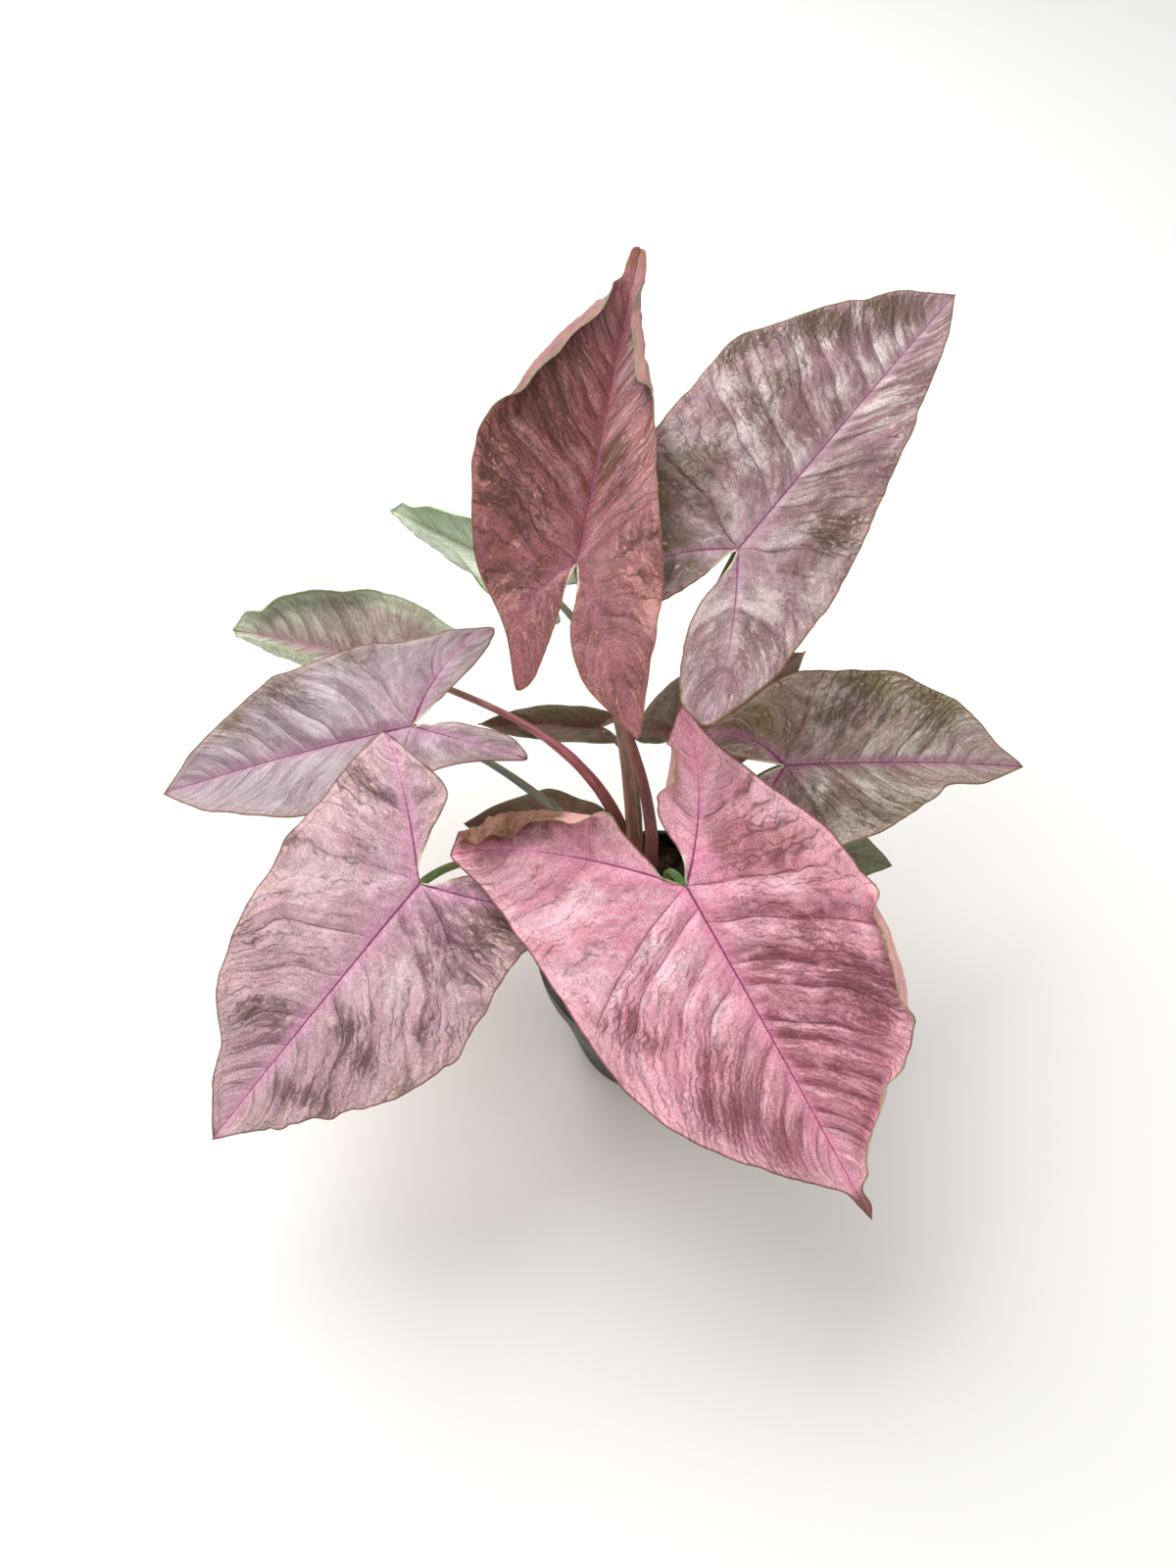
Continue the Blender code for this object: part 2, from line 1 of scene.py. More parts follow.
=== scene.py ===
import functools
import math

import bpy
import numpy as np
from mathutils import Matrix, Vector


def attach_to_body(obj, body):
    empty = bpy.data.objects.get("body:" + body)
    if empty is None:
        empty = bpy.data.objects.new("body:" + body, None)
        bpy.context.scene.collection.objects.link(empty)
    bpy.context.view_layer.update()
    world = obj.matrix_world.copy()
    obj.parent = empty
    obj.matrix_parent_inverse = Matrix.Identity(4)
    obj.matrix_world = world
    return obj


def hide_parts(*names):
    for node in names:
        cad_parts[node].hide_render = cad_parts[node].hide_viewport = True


# Arrowhead plant in a nursery pot: the looks of every piece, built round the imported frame.
# Shapes are worked out in millimetres and turned to metres as each mesh is filled.
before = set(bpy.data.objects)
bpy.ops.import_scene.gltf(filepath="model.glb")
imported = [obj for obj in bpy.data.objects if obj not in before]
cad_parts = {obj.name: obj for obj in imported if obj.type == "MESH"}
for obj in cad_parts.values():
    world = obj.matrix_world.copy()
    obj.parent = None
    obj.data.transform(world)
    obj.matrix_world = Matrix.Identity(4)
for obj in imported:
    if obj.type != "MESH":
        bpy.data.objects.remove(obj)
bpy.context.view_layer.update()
bpy.ops.object.select_all(action="DESELECT")
mm = 0.001
print("frame loaded:", len(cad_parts), "nodes")

# Camera: above the front, looking down; the image is 1200 x 1600 pixels.
view = dict(place=(-0.031, -0.234, 0.5326), lookDown=55, focalPixels=1202, imageHeight=1600, sensor=36)
bpy.ops.object.camera_add(location=view["place"], rotation=(math.radians(90 - view["lookDown"]), 0, 0))
camera = bpy.context.object
camera.name = "camera"
camera.data.sensor_width = view["sensor"]
camera.data.lens = view["sensor"] * view["focalPixels"] / view["imageHeight"]
camera.data.clip_start = 0.01
bpy.context.scene.camera = camera
bpy.context.scene.view_settings.view_transform = "Standard"
bpy.context.scene.view_settings.look = "None"


def hexColour(text):
    # sRGB hex to the linear colour that a socket takes
    parts = [int(text[k:k + 2], 16) / 255 for k in (1, 3, 5)]
    return (*[c / 12.92 if c <= 0.04045 else ((c + 0.055) / 1.055) ** 2.4 for c in parts], 1)


nodeModes = dict(Math="operation", VectorMath="operation", MapRange="interpolation_type", Mix="data_type",
                 TexWhiteNoise="noise_dimensions")  # the setting that the second word of a kind is for


def setSocket(tree, socket, value):
    # a link, a colour from sRGB hex, or a plain value
    if isinstance(value, bpy.types.NodeSocket):
        tree.links.new(value, socket)
    else:
        socket.default_value = hexColour(value) if isinstance(value, str) else value


def addNode(tree, kind, inputs=(), out=0, **settings):
    # one node with its settings and links; a second word in its kind is its mode
    kind, _, mode = kind.partition(" ")
    node = tree.nodes.new("ShaderNode" + kind)
    if mode:
        settings[nodeModes[kind]] = mode
    for key, value in settings.items():
        setattr(node, key, value)
    for key, value in inputs.items() if isinstance(inputs, dict) else enumerate(inputs):
        setSocket(tree, node.inputs[key], value)
    return node.outputs[out]


def setShader(material, values):
    tree = material.node_tree
    for key, value in values.items():
        setSocket(tree, tree.nodes["Principled BSDF"].inputs[key], value)
    return material


def newMaterial(name, roughness, ior=1.45):
    # a material, and addNode for its own tree
    material = bpy.data.materials.new(name)
    material.use_nodes = True
    setShader(material, {"Roughness": roughness, "IOR": ior})
    return material, functools.partial(addNode, material.node_tree)


def faded(add, mask, *ranges):
    # a mask weakened by fields; each is (field, the range it is read over, what it gives at the two ends)
    for fade in ranges:
        mask = add("Math MULTIPLY", (mask, add("MapRange", fade)))
    return mask


def paintedSkin(add, ground, layers, sheenAndTone):
    # ground of two tones, colours laid over it through their masks, then the fine play of light and dark,
    # which on the waxy top skin is a painted sparkle and sheen
    tone, low, high = ground
    skin = add("Mix RGBA", {0: tone, 6: low, 7: high}, 2)
    for mask, colour in layers:
        skin = add("Mix RGBA", {0: mask, 6: skin, 7: colour}, 2)
    return add("VectorMath SCALE", {0: skin, "Scale": sheenAndTone})


def smoothstep(x):
    x = np.clip(x, 0, 1)
    return x * x * (3 - 2 * x)


def unit(vectors):
    # each vector at length one
    return vectors / np.maximum(np.linalg.norm(vectors, axis=-1, keepdims=True), 1e-6)


def crossed(one, other):
    # the signed area that two flat vectors span
    return one[..., 0] * other[..., 1] - one[..., 1] * other[..., 0]


def softNoise(x, y, seed):
    # a smooth random field of about -1 to 1, one bump per unit
    table = np.random.default_rng(seed).uniform(-1, 1, (64, 64))
    x, y = np.asarray(x, float) + 500, np.asarray(y, float) + 500
    column, row = np.floor(x).astype(int), np.floor(y).astype(int)
    across, along = smoothstep(x - column), smoothstep(y - row)
    c0, c1, r0, r1 = column % 64, (column + 1) % 64, row % 64, (row + 1) % 64
    low = table[c0, r0] * (1 - across) + table[c1, r0] * across
    high = table[c0, r1] * (1 - across) + table[c1, r1] * across
    return low * (1 - along) + high * along


# Studio: pale paper floor, a wide soft light from the left back, a weaker one from the right front, and
# white air all round. Places are in metres.
studio = dict(floorSize=14, floor="#f3f1ee", air=(1.0, 0.995, 0.99), airStrength=0.5,
              keyPlace=(-0.55, 0.7, 1.3), keySize=1.2, keyWatts=23,
              fillPlace=(0.9, -0.9, 1.1), fillSize=1.2, fillWatts=7, aim=(0, 0.03, 0.15))


def addSoftLight(name, place, size, watts):
    aim = (Vector(studio["aim"]) - Vector(place)).to_track_quat("-Z", "Y").to_euler()
    bpy.ops.object.light_add(type="AREA", location=place, rotation=aim)
    lamp = bpy.context.object
    lamp.name = name
    lamp.data.size = size
    lamp.data.energy = watts


addSoftLight("key_light", studio["keyPlace"], studio["keySize"], studio["keyWatts"])
addSoftLight("fill_light", studio["fillPlace"], studio["fillSize"], studio["fillWatts"])
air = bpy.data.worlds.new("studio_air")
bpy.context.scene.world = air
air.use_nodes = True
air.node_tree.nodes["Background"].inputs["Color"].default_value = (*studio["air"], 1)
air.node_tree.nodes["Background"].inputs["Strength"].default_value = studio["airStrength"]

bpy.ops.mesh.primitive_plane_add(size=studio["floorSize"])
floor = bpy.context.object
floor.name = "studio_floor"
paper, add = newMaterial("studio paper, matte and pale", 0.9)
floor.data.materials.append(setShader(paper, {"Base Color": studio["floor"]}))
print("camera, lights and floor in place")


# Blades. Each blade lies flat with its stalk at (0, 0) and its tip at (0, length), seen from above, and is
# then folded, arched, bent and rolled by the same rules as its solid. Lengths are in mm, angles in degrees.
bladeShape = dict(lead=0.13, sweep=0.85, lobeRibInward=0.6, flatShare=0.58, bodyStart=0.5, bodyLength=0.3,
                  tipStart=0.78, tipLength=0.15, thickness=0.4, flatFlap=0.8, flapStart=0.12, flapLength=0.45,
                  blurRows=6, wanderPitch=15, wanderStart=10, widestLane=24, ribTaper=0.8, lobeTaper=0.88,
                  smoothAngle=70)
marginFlap = dict(width=9, limit=0.45, wider=1.8)
# the rolled margins and the frill along them
edgeShape = dict(rollEase=3.5, rollEnd=3.5, rollVaries=0.2, rollPitch=11, fullRoll=60, frill=0.5,
                 lobeFrill=0.4, rolledFrill=0.25, frillStart=20, frillPitch=5, fineFrill=0.35, finePitch=2.3)
# The living surface over the smooth form, in mm. The first number of swellPitch, coarsePitch and finePitch
# counts bumps from one side vein to the next.
reliefShape = dict(clear=5, ribWidth=1.5, fullLane=10, swellPitch=(1.3, 22), lobeSwell=0.45, quiltFade=14,
                   veinDepth=0.45, veinWidth=0.8, veinFade=16, edgeFade=5, coarse=0.45,
                   coarsePitch=(2.3, 13), fine=0.18, finePitch=(5.5, 8), bead=0.3, beadPlace=2.4,
                   beadWidth=1.5, crumple=1.1, crumplePitch=5, crease=0.9, creasePitch=2.4, grain=0.1,
                   grainPitch=1.9, wavePitch=24, waveStart=18, crinklePitch=(8, 12), crinkleFade=7, settle=6)


def smoothCurve(points):
    # a function of the length fraction that follows a smooth curve through flat points
    p = np.array(points, float)
    p = np.vstack([2 * p[0] - p[1], p, 2 * p[-1] - p[-2]])
    t = np.linspace(0, 1, 12, endpoint=False)[:, None]
    fine = [0.5 * (2 * b + (c - a) * t + (2 * a - 5 * b + 4 * c - d) * t**2 + (3 * b - 3 * c + d - a) * t**3)
            for a, b, c, d in zip(p, p[1:], p[2:], p[3:])]
    fine = np.vstack(fine + [p[-2:-1]])
    run = np.concatenate([[0], np.cumsum(np.linalg.norm(np.diff(fine, axis=0), axis=1))])

    def at(fraction):
        where = np.asarray(fraction) * run[-1]
        return np.stack([np.interp(where, run, fine[:, 0]), np.interp(where, run, fine[:, 1])], -1)

    return at


def bent(leaf, side, sign, flat):
    # where flat points of one half lie once the blade is folded, arched and bent
    x, y = flat[..., 0], flat[..., 1]
    length = leaf["length"]
    body = smoothstep(y / (bladeShape["bodyLength"] * length) + bladeShape["bodyStart"])
    fold = np.radians(side["lobeFold"] + (side["fold"] - side["lobeFold"]) * body)
    nearTip = smoothstep((y / length - bladeShape["tipStart"]) / bladeShape["tipLength"])
    fold = fold * (1 - leaf["tipEase"] * nearTip)
    arch = math.radians(side["arch"]) / max(point[0] for point in side["outer"])
    across = (np.sin(fold) - np.sin(fold - arch * x)) / arch
    lift = (np.cos(fold - arch * x) - np.cos(fold)) / arch
    forward = math.radians(leaf["bend"]) / length
    backward = math.radians(side["droop"]) / abs(side["lobe"][1])
    turn = np.where(y >= 0, forward * y, -backward * np.abs(y))
    rate = np.where(y >= 0, forward, backward)
    along = np.sin(turn) / rate
    fall = -(1 - np.cos(turn)) / rate
    return np.stack([sign * across, along + lift * np.sin(turn), fall + lift * np.cos(turn)], -1)


def uprightAt(leaf, side, y):
    # the direction straight up from the midrib, the same for both halves
    backward = math.radians(side["droop"]) / abs(side["lobe"][1])
    turn = np.where(y >= 0, math.radians(leaf["bend"]) / leaf["length"] * y, -backward * np.abs(y))
    return np.stack([np.zeros_like(turn), np.sin(turn), np.cos(turn)], -1)


def veinPhase(leaf, side, rowPlace, reached, lobeLength):
    # Counts the side veins from the stalk: whole numbers are veins, forward is plus, the lobe is minus. Veins
    # bow towards the tip, and the lobe's towards the lobe's tip, so the lane between them widens outwards.
    starts = side.get("veins") or leaf["veins"]
    lobeLane = lobeLength / leaf["lobeVeins"]
    bow = side.get("bow", leaf["bow"]) * reached**2 * smoothstep(0.25 + 2 * rowPlace / leaf["length"])
    lobeBow = leaf["lobeBow"] * reached**1.5
    blade = np.interp(rowPlace - bow, starts, np.arange(len(starts)))
    lobe = (rowPlace + lobeBow) / lobeLane
    middle = (rowPlace - bow) / (bow + lobeLane + lobeBow)
    return np.where(rowPlace >= bow, blade, np.where(lobe <= -1, lobe, middle))


def areaWeights(leaf, sheet, name):
    # How strongly a marking shows at each place: its own level, then round areas, each (side, x, y, radius,
    # weight) in mm on the flat blade. Side 1 is the right half, -1 the left one and 0 both.
    level, *spots = leaf["areas"].get(name, [0])
    weight = np.full(sheet["x"].shape, float(level))
    for sign, x, y, radius, strength in spots:
        if sign in (0, sheet["sign"]):
            weight += strength * np.exp(-((sheet["x"] - x) ** 2 + (sheet["y"] - y) ** 2) / radius**2)
    return np.clip(weight, 0, 1)


def relief(leaf, side, sheet, seed):
    # height of the living surface over its smooth form: sunken veins, quilting between them, soft waves
    rib, edge, phase, lane, x, y = (sheet[k] for k in ("rib", "edge", "phase", "lane", "x", "y"))
    r = reliefShape
    off = smoothstep(rib / r["clear"])
    inner = off * smoothstep(edge / r["edgeFade"])
    coarse = softNoise(phase * r["coarsePitch"][0], rib / r["coarsePitch"][1], seed + 1)
    fine = softNoise(phase * r["finePitch"][0], rib / r["finePitch"][1], seed + 7)
    crumple = softNoise(x / r["crumplePitch"], y / r["crumplePitch"], seed + 8)
    crease = softNoise(x / r["creasePitch"], y / r["creasePitch"], seed + 9)
    wave = softNoise(x / r["wavePitch"], y / r["wavePitch"] + sheet["sign"] * 3, seed + 3)
    alongPitch, edgePitch = r["crinklePitch"]
    crinkle = softNoise(sheet["share"] * leaf["length"] / alongPitch, edge / edgePitch, seed + 4)
    quilt = leaf["quilt"] * side.get("puff", 1)
    toVein = np.abs(phase - np.round(phase)) * lane
    ownSwell = np.random.default_rng(seed).uniform(0.15, 1.5, 64)[np.floor(phase).astype(int) % 64]
    ownSwell = ownSwell * np.clip(lane / r["fullLane"], 0.15, 1.2)
    swell = ownSwell * (0.8 + 0.5 * softNoise(phase * r["swellPitch"][0], rib / r["swellPitch"][1], seed))
    swell = np.where(sheet["rowPlace"] < 0, r["lobeSwell"], 1) * swell
    height = -leaf["groove"] * np.exp(-(rib / r["ribWidth"]) ** 2) * sheet["strength"]
    height += quilt * swell * np.sin(math.pi * phase) ** 2 * off * smoothstep(edge / r["quiltFade"])
    vein = np.exp(-(toVein / r["veinWidth"]) ** 2)
    height -= r["veinDepth"] * vein * off * smoothstep(edge / r["veinFade"])
    height += r["coarse"] * coarse * inner
    height += r["fine"] * fine * inner
    height += r["bead"] * np.exp(-((edge - r["beadPlace"]) / r["beadWidth"]) ** 2) * off
    height += areaWeights(leaf, sheet, "crumple") * (r["crumple"] * crumple + r["crease"] * crease)
    height += r["grain"] * softNoise(x / r["grainPitch"], y / r["grainPitch"], seed + 2) * off
    height += leaf["wave"] * wave * smoothstep(rib / r["waveStart"])
    crinkled = leaf["crinkle"] * (0.4 + 1.2 * side.get("frill", edgeShape["frill"]))
    height += crinkled * crinkle * np.exp(-edge / r["crinkleFade"])
    return height


def bladeSheet(leaf, side, sign, ribs, edges, share, rowPlace, lobeLength, columns, rolls, flap, ripple,
               seed):
    # one grid of the blade from a rib out to a margin, with all that its material reads
    e = edgeShape
    run = share * leaf["length"]
    out = edges - ribs
    reach = np.linalg.norm(out, axis=-1)
    way = np.where((reach > 0.001)[:, None], out / np.maximum(reach, 0.001)[:, None], (1.0, 0.0))
    angle = np.full(share.shape, 1e-3)
    for start, end, turn in rolls:
        place = (share - start) / (end - start)
        ease = side.get("rollEase", e["rollEase"])
        angle = angle + math.radians(turn) * smoothstep(ease * place) * smoothstep(e["rollEnd"] * (1 - place))
    angle = angle * (1 + e["rollVaries"] * softNoise(run / e["rollPitch"], 4, seed + 6))
    frill = side.get("frill", e["frill"]) * (1 if rowPlace[-1] > 0 else e["lobeFrill"])
    frill = frill * (1 - (1 - e["rolledFrill"]) * smoothstep(angle)) * smoothstep(reach / e["frillStart"])
    reach = reach + frill * softNoise(run / e["frillPitch"], sign * 7, seed + 5)
    reach = reach + e["fineFrill"] * frill * softNoise(run / e["finePitch"], sign * 7, seed + 14)
    reach = reach + flap["wider"] * smoothstep(angle / 2) * smoothstep(4 * share)
    strip = np.minimum(flap["width"], flap["limit"] * reach)
    inside = np.minimum(columns / bladeShape["flatShare"], 1)
    beyond = np.maximum(columns - bladeShape["flatShare"], 0) / (1 - bladeShape["flatShare"])
    pastStrip = (reach - strip)[:, None] * inside
    flat = ribs[:, None] + way[:, None] * pastStrip[..., None]
    distance = pastStrip + strip[:, None] * beyond
    spread = ribs[:, None] + way[:, None] * distance[..., None]
    beside = np.stack([-way[:, 1], way[:, 0]], -1)[:, None]
    nudge = 0.01
    base = bent(leaf, side, sign, flat)
    outward = (bent(leaf, side, sign, flat + nudge * way[:, None]) - base) / nudge
    along = (bent(leaf, side, sign, flat + nudge * beside) - base) / nudge
    normal = unit(sign * np.cross(outward, along))
    crest = smoothstep((beyond - bladeShape["flapStart"]) / bladeShape["flapLength"])
    turned = angle[:, None] * (beyond + bladeShape["flatFlap"] * (crest - beyond))
    turnedThere = (turned[:, 1:] + turned[:, :-1]) / 2
    stride = strip[:, None] * np.diff(beyond)
    pastOut = np.concatenate([0 * strip[:, None], np.cumsum(stride * np.cos(turnedThere), 1)], 1)
    pastUp = np.concatenate([0 * strip[:, None], np.cumsum(stride * np.sin(turnedThere), 1)], 1)
    points = base + pastOut[..., None] * outward + pastUp[..., None] * normal
    normal = normal * np.cos(turned)[..., None] - outward * np.sin(turned)[..., None]
    height, waves, phase = ripple
    calm = 1 - smoothstep(np.degrees(angle) / e["fullRoll"])
    ends = smoothstep(6 * share) * smoothstep(6 * (1 - share))
    wave = height * np.sin(2 * math.pi * (waves * share + phase + 0.25 * sign)) * calm * ends
    points = points + (wave[:, None] * columns**2)[..., None] * normal

    reached = distance / np.maximum(reach, 0.001)[:, None]
    slants = [np.abs(crossed(way, unit(np.gradient(line, axis=0)))) for line in (ribs, edges)]
    blur = bladeShape["blurRows"]
    fromRib, fromEdge = [np.convolve(np.pad(slant, blur, mode="edge"), np.ones(2 * blur + 1) / (2 * blur + 1),
                                     "valid")[:, None] for slant in slants]
    distantRib = distance * fromRib
    phase = veinPhase(leaf, side, rowPlace[:, None], reached, lobeLength)
    wander = leaf["wander"] * (0.4 + 0.6 * smoothstep(0.5 + 3 * rowPlace / leaf["length"]))[:, None]
    stray = softNoise(*np.moveaxis(spread, -1, 0) / bladeShape["wanderPitch"], seed + 12)
    phase = phase + wander * stray * smoothstep(distantRib / bladeShape["wanderStart"])
    spreadRow, spreadColumn = np.gradient(spread, axis=0), np.gradient(spread, axis=1)
    cell = crossed(spreadRow, spreadColumn)
    cell = np.where(np.abs(cell) < 1e-4, 1e-4, cell)
    phaseRow, phaseColumn = np.gradient(phase, axis=0), np.gradient(phase, axis=1)
    slopeX = (phaseRow * spreadColumn[..., 1] - phaseColumn * spreadRow[..., 1]) / cell
    slopeY = (phaseColumn * spreadRow[..., 0] - phaseRow * spreadColumn[..., 0]) / cell
    lane = np.clip(1 / np.maximum(np.hypot(slopeX, slopeY), 0.03), 1, bladeShape["widestLane"])
    strength = np.where(rowPlace > 0, 1 - bladeShape["ribTaper"] * rowPlace / leaf["length"],
                        1 - bladeShape["lobeTaper"] * smoothstep(0.1 - 1.3 * rowPlace / lobeLength))
    sheet = dict(rib=distantRib, edge=(reach[:, None] - distance) * fromEdge,
                 phase=phase, lane=lane, x=spread[..., 0], y=spread[..., 1], sign=sign)
    for key, value in (("rowPlace", rowPlace), ("share", share), ("strength", strength), ("roll", 1 - calm)):
        sheet[key] = np.broadcast_to(value[:, None], phase.shape)
    settle = smoothstep(sheet["rib"] / reliefShape["settle"])[..., None]
    lifted = unit(normal * settle + uprightAt(leaf, side, sheet["y"]) * (1 - settle))
    sheet["points"] = points + relief(leaf, side, sheet, seed)[..., None] * lifted
    return sheet


def roundTip(margin, notch, rows):
    # eases the corner where the margin and the notch meet at the lobe's tip
    line = np.vstack([notch[::-1], margin[1:]])
    middle = len(notch) - 1
    weights = np.hanning(2 * rows + 3)[1:-1]
    padded = np.pad(line, ((rows, rows), (0, 0)), mode="edge")
    eased = np.stack([np.convolve(padded[:, k], weights / weights.sum(), "valid") for k in (0, 1)], -1)
    near = smoothstep((3 * rows - np.abs(np.arange(len(line)) - middle)) / (2 * rows))[:, None]
    line = line + (eased - line) * near
    return line[middle:], line[middle::-1]


def bladeSheets(leaf):
    # the four grids of one blade: rib to margin and lobe rib to notch, right and left
    length, pace = leaf["length"], leaf["pace"]
    sheets = []
    for key, sign in (("right", 1), ("left", -1)):
        side = leaf.get(key, leaf.get("both"))
        outer = smoothCurve([side["lobe"]] + side["outer"] + [(0, length)])
        sinus = smoothCurve([side["lobe"]] + side["sinus"] + [(0, 0)])
        ahead = np.linspace(0, 1, 400)
        first = ahead[np.argmax(outer(ahead)[:, 1] > bladeShape["lead"] * length)]
        inwardShare = bladeShape["lobeRibInward"]
        middle = inwardShare * sinus(0.5) + (1 - inwardShare) * outer(0.5 * first)
        lobeRows = leaf["lobeRows"]
        back = np.linspace(0, 1, lobeRows + 1)
        front = np.linspace(0, 1, int(length / pace) + 1)[1:]
        share = np.concatenate([first * back, first + (1 - first) * front ** bladeShape["sweep"]])
        edges, notch = roundTip(outer(share), sinus(back), leaf["tipRound"])
        lobe = edges[0]
        knee = 2 * middle - 0.5 * lobe
        t = (1 - back)[:, None]
        lobeRib = 2 * t * (1 - t) * knee + t**2 * lobe
        ribs = np.vstack([lobeRib, np.stack([0 * front, length * front], -1)])
        lobeLength = np.linalg.norm(np.diff(lobeRib, axis=0), axis=1).sum()
        rowPlace = np.concatenate([-lobeLength * (1 - back), length * front])
        widest = np.linalg.norm(edges - ribs, axis=1).max()
        strip = marginFlap["width"]
        flatColumns = np.linspace(0, bladeShape["flatShare"], max(int((widest - strip) / pace), 4) + 1)
        stripColumns = np.linspace(bladeShape["flatShare"], 1, max(int(strip / pace), 4) + 1)[1:]
        columns = np.concatenate([flatColumns, stripColumns])
        wide = bladeSheet(leaf, side, sign, ribs, edges, share, rowPlace, lobeLength, columns,
                          side.get("roll", []), marginFlap, leaf["ripple"], leaf["seed"] + (sign + 1) * 20)
        notchWidth = np.linalg.norm(notch - lobeRib, axis=1).max()
        notchColumns = np.linspace(0, 1, max(int(notchWidth / pace), 4) + 1)
        narrow = bladeSheet(leaf, side, sign, lobeRib, notch, back, -lobeLength * (1 - back), lobeLength,
                            notchColumns, side.get("notchRoll", []), side.get("notchFlap", marginFlap),
                            (0, 1, 0), leaf["seed"] + 10 + (sign + 1) * 20)
        narrow["points"][:, 0] = wide["points"][:lobeRows + 1, 0]
        narrow["points"][-1] = wide["points"][lobeRows, 0]
        sheets += [wide, narrow]
    sheets[2]["points"][lobeRows:, 0] = sheets[0]["points"][lobeRows:, 0]
    sheets[3]["points"][-1] = sheets[0]["points"][lobeRows, 0]
    return sheets


def fillGrid(name, points, marks):
    # a grid primitive whose vertices take the given places, and whose corners take the given marks
    rows, columns = points.shape[:2]
    bpy.ops.mesh.primitive_grid_add(x_subdivisions=columns - 1, y_subdivisions=rows - 1, size=1)
    piece = bpy.context.object
    piece.name = name
    mesh = piece.data
    mesh.vertices.foreach_set("co", (points.reshape(-1, 3) * mm).astype(np.float32).ravel())
    corners = np.zeros(len(mesh.loops), np.int32)
    mesh.loops.foreach_get("vertex_index", corners)
    for key, value in marks.items():
        layer = mesh.attributes.new(key, "FLOAT_VECTOR", "CORNER")
        layer.data.foreach_set("vector", value.reshape(-1, 3)[corners].astype(np.float32).ravel())
    while mesh.uv_layers:
        mesh.uv_layers.remove(mesh.uv_layers[0])
    mesh.update()
    return piece


def choose(pieces):
    # selects pieces alone, the first of them active
    bpy.ops.object.select_all(action="DESELECT")
    for piece in pieces:
        piece.select_set(True)
    bpy.context.view_layer.objects.active = pieces[0]


def joinPieces(pieces, name, weld=0.004):
    # one mesh of several, closed where points lie within the weld distance in mm
    choose(pieces)
    if len(pieces) > 1:
        bpy.ops.object.join()
    whole = bpy.context.object
    whole.name = whole.data.name = name
    bpy.ops.object.mode_set(mode="EDIT")
    bpy.ops.mesh.select_all(action="SELECT")
    bpy.ops.mesh.remove_doubles(threshold=weld * mm)
    bpy.ops.mesh.dissolve_degenerate(threshold=0.0005 * mm)
    bpy.ops.mesh.normals_make_consistent(inside=False)
    bpy.ops.object.mode_set(mode="OBJECT")
    return whole


def placement(leaf):
    turn = (Matrix.Rotation(math.radians(leaf["heading"] - 90), 4, "Z")
            @ Matrix.Rotation(math.radians(leaf["pitch"]), 4, "X")
            @ Matrix.Rotation(math.radians(leaf["tilt"]), 4, "Y"))
    return Matrix.Translation(Vector(leaf["attach"]) * mm) @ turn


def veinPlace(add, phase, lane):
    # the nearest side vein's number, the signed place between two veins, and the mm to the nearest
    nearest = add("Math ROUND", [phase])
    between = add("Math SUBTRACT", (phase, nearest))
    return nearest, between, add("Math MULTIPLY", (add("Math ABSOLUTE", [between]), lane))


